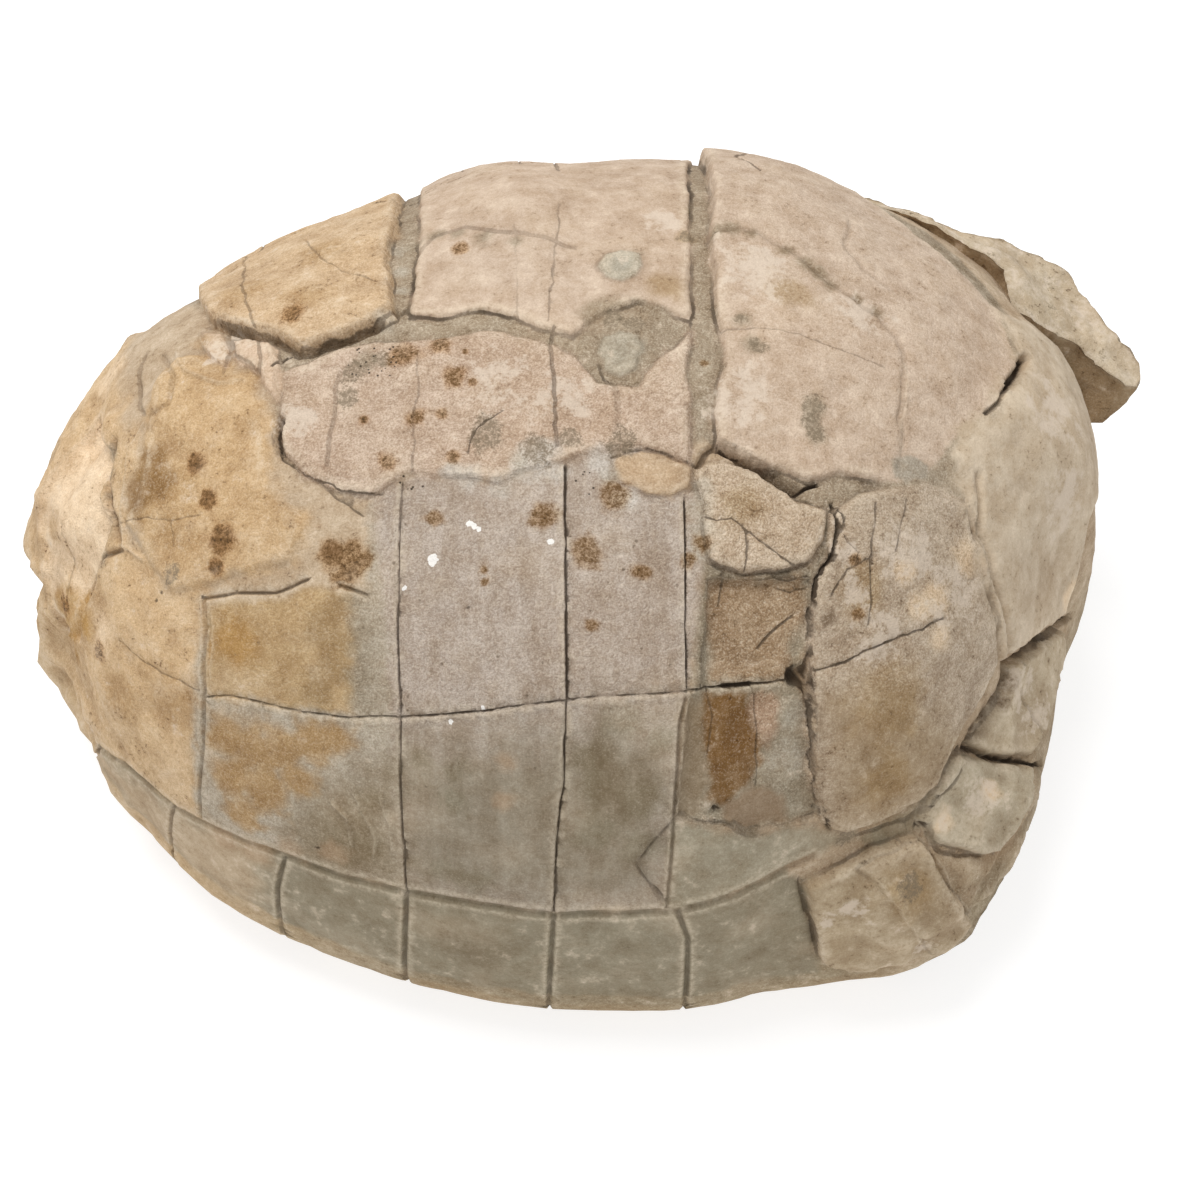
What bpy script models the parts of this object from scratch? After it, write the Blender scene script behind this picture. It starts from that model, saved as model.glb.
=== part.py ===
"""Fossil turtle shell, one block of bone and stone that rests on its flat underside.

The long axis of the shell lies along X and the Z axis points up.  The origin is on the
table, under the middle of the flat underside.  The carved and broken lines of the upper
side were read by eye as points in one view, so that view is described below as well.
"""

import math

import bmesh
import bpy
import numpy as np
from mathutils import Vector, noise
from mathutils.geometry import delaunay_2d_cdt

MM = 0.001
NAME = "fossil_turtle_shell"

# Driving sizes, in metres
TOP_HEIGHT = 0.204
BELLY_CUT = 0.006
BELLY_ROUNDNESS = 3.0
TOP_SPACING = 0.0118
BELLY_SPACING = 0.0165
LINE_SPACING = 0.0085
BELLY_LINE_SPACING = 0.013
WAVE_HEIGHT = 0.0011
WAVE_LENGTH = 0.042
WORN_END_HEIGHT = 0.0065
WORN_END_LENGTH = 0.030
SLAB_THICKNESS = 0.020
SLAB_UNDERCUT = 0.012

# Angle from +X in degrees, then radius and rim height in millimetres, then roundness
OUTLINE = (
    (0, 196, 52, 2.7),
    (30, 202, 52, 2.5),
    (60, 186, 38, 2.4),
    (90, 171, 32, 2.35),
    (106, 173, 32, 2.45),
    (124, 176, 34, 2.23),
    (150, 197, 44, 2.18),
    (165, 206, 50, 2.5),
    (180, 211, 55, 2.52),
    (195, 197, 48, 2.5),
    (210, 187, 40, 2.45),
    (240, 165, 30, 2.3),
    (270, 160, 26, 2.35),
    (285, 165, 26, 2.38),
    (300, 167, 26, 2.42),
    (318, 172, 32, 2.55),
    (336, 174, 42, 2.65),
    (350, 181, 48, 2.7),
)

# The broken rim plates stand out from the dome over this part of the edge
FLARE = 0.0225
FLARE_ANGLE = 317.0
FLARE_BEFORE = 26.0
FLARE_AFTER = 46.0
FLARE_TOP = 0.100
FLARE_FULL = 0.058

# The view that the traced points were read in: 1200 points a side, y down the picture
VIEW_TILT = math.radians(54.0)
VIEW_DISTANCE = 1.05
VIEW_TARGET = np.array([0.0, 0.0, 0.085])
VIEW_CENTRE = (583.0, 551.0)
VIEW_FOCAL = 2766.7
RIGHT = np.array([1.0, 0.0, 0.0])
FORWARD = np.array([0.0, math.cos(VIEW_TILT), -math.sin(VIEW_TILT)])
UPWARD = np.array([0.0, math.sin(VIEW_TILT), math.cos(VIEW_TILT)])
EYE = VIEW_TARGET - VIEW_DISTANCE * FORWARD

# Carved lines and cracks of the near side: width and depth in millimetres, then the trace
NEAR_LINES = (
    (1.8, 1.7, ((403, 478), (399, 560), (397, 640), (400, 705), (399, 780), (402, 850), (404, 892))),
    (2.0, 2.0, ((566, 466), (566, 629), (566, 697), (562, 784), (555, 834), (551, 914))),
    (2.0, 1.8, ((685, 502), (686, 558), (685, 630), (686, 698), (679, 726), (672, 817), (664, 910))),
    (1.8, 1.6, ((207, 693), (303, 710), (348, 715), (400, 715), (479, 710), (565, 700), (686, 692), (782, 686))),
    (1.8, 1.6, ((205, 597), (206, 632), (205, 690), (202, 743), (199, 814))),
    (2.0, 1.6, ((205, 597), (230, 592), (281, 591), (306, 579), (367, 591))),
    (2.6, 2.2, ((96, 737), (121, 759), (169, 801), (236, 836), (335, 874), (402, 890), (503, 908),
                (553, 916), (614, 916), (675, 911), (737, 893), (783, 872), (840, 842), (881, 828))),
    (5.0, 6.5, ((721, 449), (747, 463), (775, 479), (798, 495), (826, 494))),
    (3.2, 3.2, ((830, 516), (831, 554), (814, 579), (811, 645), (798, 672), (810, 733), (814, 786), (824, 826))),
    (4.2, 5.5, ((1023, 364), (1006, 392))),
    (2.6, 2.8, ((1006, 392), (984, 418))),
    (4.0, 3.6, ((1003, 670), (1038, 642), (1069, 623))),
    (3.2, 3.0, ((958, 752), (996, 763), (1036, 768))),
    (3.4, 3.0, ((972, 505), (979, 540), (989, 589), (998, 624), (1003, 667), (986, 705), (958, 751))),
    (4.5, 4.5, ((276, 420), (280, 440), (290, 458))),
    (3.0, 2.0, ((110, 443), (99, 489), (112, 517), (104, 547), (92, 590))),
)

# Joints between the rim plates of the near side; each one runs on down to the rim
NEAR_RIM_JOINTS = (
    ((101, 740), (96, 762)),
    ((171, 804), (169, 850)),
    ((281, 858), (274, 887), (277, 922)),
    ((404, 892), (402, 935), (401, 970)),
    ((551, 914), (547, 968), (545, 997)),
    ((675, 912), (685, 940), (682, 1003)),
)

# Plates of the near side: rise and edge width in millimetres, trace, then plan points in
# millimetres that close the outline over the far side
NEAR_PLATES = (
    (7.0, 2.2, ((842, 186), (924, 234), (956, 259), (988, 291), (1004, 312), (1023, 365), (1007, 393),
                (982, 419), (951, 456), (923, 481), (902, 486), (877, 479), (845, 474), (814, 482),
                (775, 467), (721, 446), (719, 438), (725, 365), (719, 307), (715, 253), (715, 196),
                (707, 148)), ((50, 150), (76, 147), (92, 128))),
    (4.6, 2.2, ((405, 190), (398, 225), (390, 255), (395, 290), (398, 312), (357, 327), (319, 342),
                (301, 350), (281, 335), (255, 330), (224, 322), (209, 317), (200, 300)),
     ((-144, 84), (-134, 106), (-108, 128), (-74, 141))),
    (2.6, 1.8, ((695, 467), (716, 460), (751, 467), (796, 496), (830, 512), (828, 540), (810, 567),
                (775, 574), (740, 575), (710, 563), (705, 505)), ()),
    (2.6, 2.0, ((832, 515), (870, 492), (925, 485), (972, 505), (979, 540), (989, 589), (998, 624),
                (1003, 667), (986, 705), (958, 751), (937, 789), (916, 807), (881, 828), (845, 838),
                (824, 831), (814, 786), (810, 733), (811, 645), (815, 580), (831, 554)), ()),
    (3.4, 2.4, ((1004, 312), (1061, 345), (1100, 430), (1096, 520), (1080, 590), (1069, 621), (1038, 642),
                (1003, 667), (998, 624), (989, 589), (979, 540), (972, 505), (951, 456), (982, 419),
                (1007, 393), (1023, 365)), ()),
    (3.6, 2.0, ((1005, 672), (1040, 646), (1067, 627), (1066, 660), (1052, 720), (1034, 762), (996, 760),
                (962, 750), (988, 706)), ()),
    (3.4, 2.0, ((960, 758), (996, 767), (1032, 771), (1031, 800), (1006, 862), (972, 859), (937, 850),
                (921, 824), (925, 806), (940, 788)), ()),
    (4.6, 2.2, ((806, 890), (850, 868), (875, 853), (916, 838), (930, 856), (951, 891), (972, 926),
                (960, 944), (900, 966), (850, 975), (822, 965), (812, 930)), ()),
    (-3.0, 2.0, ((706, 580), (810, 580), (812, 640), (797, 670), (810, 690), (812, 790), (822, 822),
                 (782, 830), (747, 835), (719, 824), (674, 818), (680, 770), (688, 700), (700, 690)), ()),
    (1.6, 1.8, ((282, 371), (279, 420), (281, 448), (306, 473), (339, 489), (367, 494), (410, 470),
                (500, 480), (560, 460), (640, 445), (693, 467), (695, 403), (693, 330), (640, 385),
                (600, 380), (560, 345), (530, 337), (491, 327), (433, 337), (376, 337), (330, 350)), ()),
    (1.8, 1.8, ((412, 312), (443, 314), (484, 309), (517, 314), (537, 324), (575, 335), (600, 316),
                (640, 300), (693, 320), (693, 228), (693, 170)),
     ((44, 148), (0, 150), (-60, 144))),
    (2.2, 2.6, ((143, 443), (138, 479), (120, 517), (143, 555), (170, 590), (205, 580), (290, 560),
                (306, 520), (270, 470), (268, 420), (255, 372), (200, 350), (170, 360), (150, 400)), ()),
    (-2.6, 3.0, ((90, 405), (110, 443), (99, 489), (112, 517), (104, 547), (92, 590), (78, 640), (54, 630),
                 (42, 560), (40, 505), (60, 450)), ()),
    (-2.8, 2.0, (), ((58, 148), (80, 143), (101, 150), (106, 158), (84, 166), (62, 164))),
)

# Old repairs that were smoothed over, where plate edges fade: how gently, in millimetres
# from edge to level, then the trace
SMOOTH_REPAIRS = (
    (8.0, ((930, 300), (985, 268), (1016, 298), (1064, 336), (1062, 390), (1012, 452), (985, 500),
           (940, 512), (893, 500), (884, 474), (915, 455), (948, 400), (952, 345))),
)

# Joints of the far side as plan points in millimetres, with width and depth first
FAR_LINES = (
    (1.8, 1.2, ((-122, 122), (-126, 136), (-127, 148))),
    (1.8, 1.2, ((-66, 118), (-70, 138), (-71, 156))),
    (1.8, 1.2, ((-8, 108), (-10, 130), (-9, 152), (-10, 162))),
    (2.2, 1.4, ((40, 128), (38, 148), (40, 162))),
    (1.8, 1.2, ((92, 146), (90, 158))),
    (2.4, 2.0, ((-112, 96), (-84, 108), (-60, 104), (-34, 116), (-9, 130))),
)

# Angle in degrees and nearness to the rim of the far side's line above the rim plates
FAR_RING = ((150, 0.955), (135, 0.965), (118, 0.96), (100, 0.965), (82, 0.96), (65, 0.968), (48, 0.965), (34, 0.97),
            (18, 0.966), (2, 0.97))
FAR_RIM_JOINTS = (140, 124, 109, 95, 80, 66, 53, 41, 26, 10)
RIM_JOINT_WIDTH = 2.0
RIM_JOINT_DEPTH = 1.6
RIM_JOINT_BELOW = 24.0

# Joints of the underside, then the sunken leg openings, as plan points in millimetres
BELLY_LINES = (
    (2.0, 1.4, ((-138, 2), (-96, -3), (-52, 2), (-8, -2), (38, 3), (84, -1), (128, 2))),
    (1.8, 1.2, ((-98, -78), (-92, -40), (-96, -3), (-90, 36), (-97, 76))),
    (1.8, 1.2, ((-40, -112), (-33, -60), (-38, 0), (-31, 58), (-39, 114))),
    (1.8, 1.2, ((34, -114), (28, -58), (35, 3), (27, 60), (33, 116))),
    (1.8, 1.2, ((92, -76), (86, -38), (90, 0), (85, 40), (93, 78))),
)
BELLY_PLATES = (
    (-13.0, 9.0, ((-118, -84), (-137, -66), (-149, -36), (-152, 0), (-149, 38), (-136, 70), (-114, 90),
                  (-96, 112), (-122, 128), (-158, 104), (-180, 66), (-190, 0), (-172, -66), (-146, -98),
                  (-112, -120), (-88, -112))),
    (-13.0, 9.0, ((104, -86), (124, -66), (138, -36), (142, 0), (138, 38), (126, 70), (104, 92),
                  (92, 116), (122, 132), (158, 104), (176, 60), (180, 0), (168, -56), (150, -92),
                  (118, -122), (88, -114))),
)

# The displaced slab: points of its top edge and the height in millimetres of each one
SLAB_EDGE = (
    ((852, 191), 158), ((925, 212), 151), ((969, 232), 146), ((1010, 240), 141), ((1050, 258), 137),
    ((1078, 272), 133), ((1090, 296), 130), ((1110, 322), 127), ((1130, 350), 123), ((1142, 373), 119),
    ((1137, 384), 118), ((1128, 383), 119), ((1108, 366), 123), ((1084, 346), 129), ((1060, 333), 136),
    ((1038, 320), 143), ((1018, 306), 149), ((1016, 288), 149), ((1012, 270), 149), ((992, 254), 152),
    ((966, 241), 154), ((943, 226), 156), ((905, 210), 157), ((872, 203), 158),
)


def smooth(value):
    """Ease from 0 to 1 with level ends."""
    value = np.clip(value, 0.0, 1.0)
    return value * value * (3.0 - 2.0 * value)


def around(column, degrees):
    """Value of one column of OUTLINE at each angle, on a closed smooth curve."""
    angles = np.array([row[0] for row in OUTLINE], float)
    values = np.array([row[column] for row in OUTLINE], float)
    turn = np.mod(degrees, 360.0)
    start = np.searchsorted(angles, turn, side="right") - 1
    after = (start + 1) % len(angles)
    gap = np.mod(angles[after] - angles[start], 360.0)
    t = (turn - angles[start]) / gap
    a, b, c, d = values[start - 1], values[start], values[after], values[(start + 2) % len(angles)]
    bend = (2 * a - 5 * b + 4 * c - d) * t**2 + (3 * b - a - 3 * c + d) * t**3
    return 0.5 * (2 * b + (c - a) * t + bend)


def flare(degrees, height):
    """How far the broken rim plates stand out from the dome."""
    turn = np.mod(degrees - FLARE_ANGLE + 180.0, 360.0) - 180.0
    spread = np.where(turn < 0.0, FLARE_BEFORE, FLARE_AFTER)
    down = (FLARE_TOP - height) / (FLARE_TOP - FLARE_FULL)
    return FLARE * smooth(1.0 - np.abs(turn) / spread) * smooth(down)


def shell_points(direction):
    """Points of the smooth shell in each direction from its middle."""
    flat = np.hypot(direction[:, 0], direction[:, 1])
    angle = np.arctan2(direction[:, 1], direction[:, 0])
    degrees = np.degrees(angle)
    upper = direction[:, 2] >= 0.0
    rim = around(2, degrees) * MM
    power = np.where(upper, around(3, degrees), BELLY_ROUNDNESS)
    reach = (flat**power + np.abs(direction[:, 2]) ** power) ** (-1.0 / power)
    height = rim + direction[:, 2] * reach * np.where(upper, TOP_HEIGHT - rim, rim + BELLY_CUT)
    height = np.maximum(height, 0.0)
    fade = np.where(upper, 1.0, smooth((flat * reach - 0.6) / 0.35))
    out = flat * reach * around(1, degrees) * MM + flare(degrees, height) * fade
    return np.column_stack([out * np.cos(angle), out * np.sin(angle), height])


def outside(points, lift):
    """Below zero inside the smooth shell grown by lift, with the direction of each point."""
    degrees = np.degrees(np.arctan2(points[..., 1], points[..., 0]))
    rim = around(2, degrees) * MM
    radius = around(1, degrees) * MM + lift
    spread = (np.hypot(points[..., 0], points[..., 1]) - flare(degrees, points[..., 2])) / radius
    upper = points[..., 2] >= rim
    rise = (points[..., 2] - rim) / np.where(upper, TOP_HEIGHT + lift - rim, rim)
    power = np.where(upper, around(3, degrees), BELLY_ROUNDNESS)
    spread = np.maximum(spread, 0.0)
    value = spread**power + np.abs(rise) ** power - 1.0
    turn = np.radians(degrees)
    direction = np.stack([spread * np.cos(turn), spread * np.sin(turn), np.maximum(rise, 0.0)], axis=-1)
    return value, direction / np.maximum(np.linalg.norm(direction, axis=-1, keepdims=True), 1e-9)


def view_rays(trace):
    """Unit-depth ray of each traced point."""
    trace = np.asarray(trace, float)
    across = (trace[:, 0:1] - VIEW_CENTRE[0]) / VIEW_FOCAL
    down = (trace[:, 1:2] - VIEW_CENTRE[1]) / VIEW_FOCAL
    return FORWARD + across * RIGHT - down * UPWARD


def from_view(trace, lift=0.0):
    """Directions of the traced points, where their rays first meet the shell."""
    steps = np.linspace(VIEW_DISTANCE - 0.3, VIEW_DISTANCE + 0.3, 1201)
    points = EYE + view_rays(trace)[:, None, :] * steps[None, :, None]
    value, direction = outside(points, lift)
    met = value < 0.0
    place = np.where(met.any(axis=1), met.argmax(axis=1), value.argmin(axis=1))
    return direction[np.arange(len(place)), place]


def from_plan(plan, side):
    """Directions of plan points, in millimetres, on the upper or the lower half."""
    plan = np.asarray(plan, float)
    angle = np.arctan2(plan[:, 1], plan[:, 0])
    spread = np.hypot(plan[:, 0], plan[:, 1]) / around(1, np.degrees(angle))
    return from_polar(angle, spread, side)


def from_polar(angle, spread, side):
    """Directions at an angle and a share of the way out to the rim."""
    spread = np.minimum(spread, 1.0)
    power = around(3, np.degrees(angle)) if side > 0 else BELLY_ROUNDNESS
    rise = side * (1.0 - spread**power) ** (1.0 / power)
    direction = np.column_stack([spread * np.cos(angle), spread * np.sin(angle), rise])
    return direction / np.linalg.norm(direction, axis=1, keepdims=True)


def to_chart(direction):
    """Flatten one half of the shell onto a disc whose edge is the rim."""
    return direction[:, :2] / (1.0 + np.abs(direction[:, 2:3]))


def from_chart(chart, side):
    """Directions of points on the disc."""
    square = (chart**2).sum(axis=1)
    height = side * np.maximum(1.0 - square, 0.0) / (1.0 + square)
    return np.column_stack([2.0 * chart / (1.0 + square)[:, None], height])


def place(chart, side):
    """Points of the smooth shell for points on the disc."""
    return shell_points(from_chart(chart, side))


def outward(chart, side):
    """Unit normals of the smooth shell."""
    step = 0.004
    inner = chart * (1.0 - step)
    u = place(inner + (step, 0.0), side) - place(inner - (step, 0.0), side)
    v = place(inner + (0.0, step), side) - place(inner - (0.0, step), side)
    normal = np.cross(u, v) * side
    return normal / np.linalg.norm(normal, axis=1, keepdims=True)


def divided(chart, side, spacing, closed):
    """The same line on the disc, with points about one spacing apart on the shell."""
    ends = np.vstack([chart, chart[:1]]) if closed else chart
    points = place(ends, side)
    pieces = []
    for i in range(len(ends) - 1):
        count = max(1, round(float(np.linalg.norm(points[i + 1] - points[i])) / spacing))
        share = (np.arange(count) / count)[:, None]
        pieces.append(ends[i] + (ends[i + 1] - ends[i]) * share)
    if not closed:
        pieces.append(ends[-1:])
    return np.vstack(pieces)


def beside(chart, side, shift, closed):
    """The line on the disc moved sideways by a distance on the shell."""
    if closed:
        run = np.roll(chart, -1, axis=0) - np.roll(chart, 1, axis=0)
    else:
        run = np.gradient(chart, axis=0)
    turn = np.column_stack([-run[:, 1], run[:, 0]])
    turn /= np.linalg.norm(turn, axis=1, keepdims=True)
    probe = 0.003 * turn
    inner = chart * 0.994
    size = np.linalg.norm(place(inner + probe, side) - place(inner - probe, side), axis=1) / 0.006
    moved = chart + turn * (shift / size)[:, None]
    reach = np.maximum(np.linalg.norm(moved, axis=1, keepdims=True), 1.0)
    return moved / reach


def area_sign(chart):
    """Which way round a closed line runs."""
    after = np.roll(chart, -1, axis=0)
    return 1.0 if (chart[:, 0] * after[:, 1] - after[:, 0] * chart[:, 1]).sum() > 0.0 else -1.0


def line_distance(points, line):
    """Distance from each point to a line of points in space."""
    best = np.full(len(points), 1.0)
    for start, end in zip(line[:-1], line[1:]):
        run = end - start
        share = np.clip((points - start) @ run / max(run @ run, 1e-12), 0.0, 1.0)
        gap = points - start - share[:, None] * run
        best = np.minimum(best, np.sqrt((gap**2).sum(axis=1)))
    return best


def within(chart, loop):
    """Which points of the disc lie inside a closed line."""
    result = np.zeros(len(chart), bool)
    for start, end in zip(loop, np.roll(loop, -1, axis=0)):
        crosses = (start[1] > chart[:, 1]) != (end[1] > chart[:, 1])
        if start[1] == end[1]:
            continue
        at = start[0] + (chart[:, 1] - start[1]) * (end[0] - start[0]) / (end[1] - start[1])
        result ^= crosses & (chart[:, 0] < at)
    return result


def clear_of_rim(chart):
    """Points moved a little inside the disc, except those exactly on its edge."""
    size = np.linalg.norm(chart, axis=1, keepdims=True)
    return np.where(size > 0.99999, chart, chart * np.minimum(1.0, 0.985 / np.maximum(size, 1e-6)))


def pinned(edge, middle, width):
    """The edge of a groove, with its ends on the rim where the middle ends there."""
    for i in (0, -1):
        if np.hypot(*middle[i]) > 0.99999:
            angle = math.atan2(middle[i, 1], middle[i, 0])
            shift = 0.5 * width / float(around(1, math.degrees(angle)))
            ahead = middle[i, 0] * edge[i, 1] - middle[i, 1] * edge[i, 0] > 0.0
            angle += shift if ahead else -shift
            edge[i] = (math.cos(angle), math.sin(angle))
    return edge


def groove(directions, side, width, depth, spacing):
    """A V-shaped line with its middle and both edges."""
    chart = divided(clear_of_rim(to_chart(directions)), side, spacing, False)
    edges = [beside(chart, side, s * width * MM / 2.0, False) for s in (-1.0, 1.0)]
    edges = [pinned(edge, chart, width) for edge in edges]
    return {"lines": [chart] + edges, "points": place(chart, side), "width": width * MM, "depth": depth * MM}


def plate(directions, side, rise, edge, spacing):
    """A raised or sunken area with a steep edge."""
    chart = to_chart(directions)
    size = np.linalg.norm(chart, axis=1, keepdims=True)
    chart = divided(chart * np.minimum(1.0, 0.985 / size), side, spacing, True)
    inset = beside(chart, side, area_sign(chart) * edge * MM, True)
    points = place(np.vstack([chart, chart[:1]]), side)
    return {"loops": [chart, inset], "points": points, "rise": rise * MM, "edge": edge * MM}


def smooth_repairs():
    """Outline and softness of each smoothed repair."""
    repairs = []
    for softness, trace in SMOOTH_REPAIRS:
        chart = to_chart(from_view(trace))
        repairs.append((chart, place(np.vstack([chart, chart[:1]]), 1), softness * MM))
    return repairs


def signed_gap(chart, points, loop, outline):
    """Distance to a closed outline, below zero outside it."""
    gap = line_distance(points, outline)
    return np.where(within(chart, loop), gap, -gap)


def to_rim(directions):
    """The same line with its last point moved onto the rim."""
    line = directions.copy()
    line[-1, 2] = 0.0
    line[-1] /= np.linalg.norm(line[-1])
    return line


def upper_features():
    """Every line and plate of the upper side."""
    lines = []
    for width, depth, trace in NEAR_LINES:
        lines.append(groove(from_view(trace), 1, width, depth, LINE_SPACING))
    for width, depth, plan in FAR_LINES:
        lines.append(groove(from_plan(plan, 1), 1, width, depth, LINE_SPACING))
    ring = np.array(FAR_RING, float)
    ring_line = from_polar(np.radians(ring[:, 0]), ring[:, 1], 1)
    lines.append(groove(ring_line, 1, 2.2, 1.6, LINE_SPACING))
    for joint in rim_joints():
        lines.append(groove(joint, 1, RIM_JOINT_WIDTH, RIM_JOINT_DEPTH, LINE_SPACING))
    plates = []
    for rise, edge, trace, plan in NEAR_PLATES:
        sides = []
        if trace:
            sides.append(from_view(trace, max(rise, 0.0) * MM))
        if plan:
            sides.append(from_plan(plan, 1))
        directions = np.vstack(sides)
        plates.append(plate(directions, 1, rise, edge, LINE_SPACING))
    return lines, plates


def rim_joints():
    """Joints between the rim plates, each one ending on the rim."""
    joints = [to_rim(from_view(trace)) for trace in NEAR_RIM_JOINTS]
    for degrees in FAR_RIM_JOINTS:
        angle = np.radians(np.array([degrees, degrees + 0.8, degrees]))
        ring = np.array(sorted(FAR_RING), float)
        start = np.interp(degrees, ring[:, 0], ring[:, 1])
        joints.append(to_rim(from_polar(angle, np.array([start, 0.985, 1.0]), 1)))
    return joints


def lower_features():
    """Every line and plate of the underside."""
    lines = []
    for width, depth, plan in BELLY_LINES:
        lines.append(groove(from_plan(plan, -1), -1, width, depth, BELLY_LINE_SPACING))
    for joint in rim_joints():
        angle = math.atan2(joint[-1, 1], joint[-1, 0])
        radius = float(around(1, math.degrees(angle)))
        spread = np.array([1.0, 1.0 - 0.25 * RIM_JOINT_BELOW / radius, 1.0 - 0.75 * RIM_JOINT_BELOW / radius])
        directions = from_polar(np.full(3, angle), spread, -1)
        lines.append(groove(directions, -1, RIM_JOINT_WIDTH, RIM_JOINT_DEPTH, LINE_SPACING))
    plates = [plate(from_plan(plan, -1), -1, rise, edge, BELLY_LINE_SPACING) for rise, edge, plan in BELLY_PLATES]
    return lines, plates


def waves(points, length):
    """Smooth noise between -1 and 1."""
    return np.array([noise.noise(Vector(p) / length) for p in points])


def relief(chart, points, side, features):
    """Height of the real surface above the smooth shell."""
    lines, plates = features
    degrees = np.mod(np.degrees(np.arctan2(points[:, 1], points[:, 0])), 360.0)
    worn = smooth(1.0 - np.abs(degrees - 172.0) / 50.0) * smooth((0.16 - points[:, 2]) / 0.08)
    worn *= smooth(np.linalg.norm(chart, axis=1) * 2.0 - 1.0)
    level = smooth(points[:, 2] / 0.02)
    height = WAVE_HEIGHT * waves(points, WAVE_LENGTH) * level
    height += WORN_END_HEIGHT * waves(points + 0.3, WORN_END_LENGTH) * worn * level
    repaired = np.zeros(len(points))
    softness = 1.0
    for loop, outline, softness in smooth_repairs() if side > 0 else ():
        repaired = np.maximum(repaired, smooth(0.5 + signed_gap(chart, points, loop, outline) / softness))
    for item in plates:
        gap = signed_gap(chart, points, item["loops"][0], item["points"])
        share = np.clip(gap / item["edge"], 0.0, 1.0)
        share += repaired * (smooth(0.5 + 0.5 * gap / softness) - share)
        height += item["rise"] * share
    cut = np.zeros(len(points))
    for item in lines:
        near = 1.0 - line_distance(points, item["points"]) / (item["width"] / 2.0)
        cut = np.maximum(cut, item["depth"] * np.clip(near, 0.0, 1.0))
    return height - cut


def even_points(side, spacing):
    """Points of the disc that lie about evenly over one half of the shell."""
    levels = np.linspace(0.0, 1.0, 161)
    turns = np.linspace(0.0, 2.0 * math.pi, 241)
    disc = np.stack([np.outer(levels, np.cos(turns)), np.outer(levels, np.sin(turns))], axis=-1)
    points = place(disc.reshape(-1, 2), side).reshape(len(levels), len(turns), 3)
    climb = np.linalg.norm(np.diff(points, axis=0), axis=2).mean(axis=1)
    climb = np.concatenate([[0.0], np.cumsum(climb)])
    rings = round(climb[-1] / (spacing * 0.9))
    chart = [np.zeros((1, 2))]
    for ring in range(1, rings):
        level = float(np.interp(climb[-1] * ring / rings, climb, levels))
        loop = place(level * np.column_stack([np.cos(turns), np.sin(turns)]), side)
        length = np.concatenate([[0.0], np.cumsum(np.linalg.norm(np.diff(loop, axis=0), axis=1))])
        count = max(6, round(length[-1] / spacing))
        share = (np.arange(count) + 0.618 * ring % 1.0) / count % 1.0
        turn = np.interp(share * length[-1], length, turns)
        chart.append(level * np.column_stack([np.cos(turn), np.sin(turn)]))
    return np.vstack(chart)


def rim_points(features):
    """Points of the disc's edge, with one at each edge of every joint that ends there."""
    special = []
    for item in features[0]:
        for line in item["lines"]:
            special += [math.atan2(p[1], p[0]) for p in line if np.hypot(*p) > 0.9999]
    special = np.array(sorted(special))
    count = round(1.16 / TOP_SPACING)
    regular = np.linspace(-math.pi, math.pi, count, endpoint=False)
    gap = np.abs(regular[:, None] - special[None, :]).min(axis=1)
    angles = np.sort(np.concatenate([regular[gap > 0.6 * 2.0 * math.pi / count], special]))
    return np.column_stack([np.cos(angles), np.sin(angles)])


def half_shell(side, spacing, features, rim, rim_features):
    """Points in space and triangles of one half of the shell."""
    lines, plates = features
    chart = [rim]
    edges = [(i, (i + 1) % len(rim)) for i in range(len(rim))]
    total = len(rim)
    for item in lines:
        for line in item["lines"]:
            chart.append(line)
            edges += [(total + i, total + i + 1) for i in range(len(line) - 1)]
            total += len(line)
    for item in plates:
        for loop in item["loops"]:
            chart.append(loop)
            edges += [(total + i, total + (i + 1) % len(loop)) for i in range(len(loop))]
            total += len(loop)
    taken = place(np.vstack(chart), side)
    free = even_points(side, spacing)
    gap = np.array([np.sqrt(((taken - p) ** 2).sum(axis=1).min()) for p in place(free, side)])
    chart.append(free[gap > 0.55 * spacing])
    flat = [Vector(p) for p in np.vstack(chart)]
    result = delaunay_2d_cdt(flat, edges, [], 0, 2e-4)
    chart = np.array([tuple(v) for v in result[0]])
    source = result[3]
    on_rim = np.array([bool(ids) and min(ids) < len(rim) for ids in source])
    for i in np.flatnonzero(on_rim):
        chart[i] = rim[min(source[i])]
    points = place(chart, side)
    height = relief(chart, points, side, features)
    if side < 0:
        height[on_rim] = relief(chart[on_rim], points[on_rim], 1, rim_features)
    normal = outward(chart, side)
    normal[on_rim] = outward(chart[on_rim], 1)
    points = points + normal * height[:, None]
    return np.column_stack([points[:, :2], np.maximum(points[:, 2], 0.0)]), result[2]


def body_mesh():
    """The whole shell without the slab, as one closed mesh."""
    upper = upper_features()
    lower = lower_features()
    rim = rim_points(upper)
    shape = bmesh.new()
    for side, spacing, features in ((1, TOP_SPACING, upper), (-1, BELLY_SPACING, lower)):
        points, faces = half_shell(side, spacing, features, rim, upper)
        verts = [shape.verts.new(p) for p in points]
        for face in faces:
            order = face if side > 0 else reversed(face)
            shape.faces.new([verts[i] for i in order])
    bmesh.ops.remove_doubles(shape, verts=shape.verts, dist=1e-6)
    bmesh.ops.recalc_face_normals(shape, faces=shape.faces)
    mesh = bpy.data.meshes.new(NAME)
    shape.to_mesh(mesh)
    shape.free()
    return mesh


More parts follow.
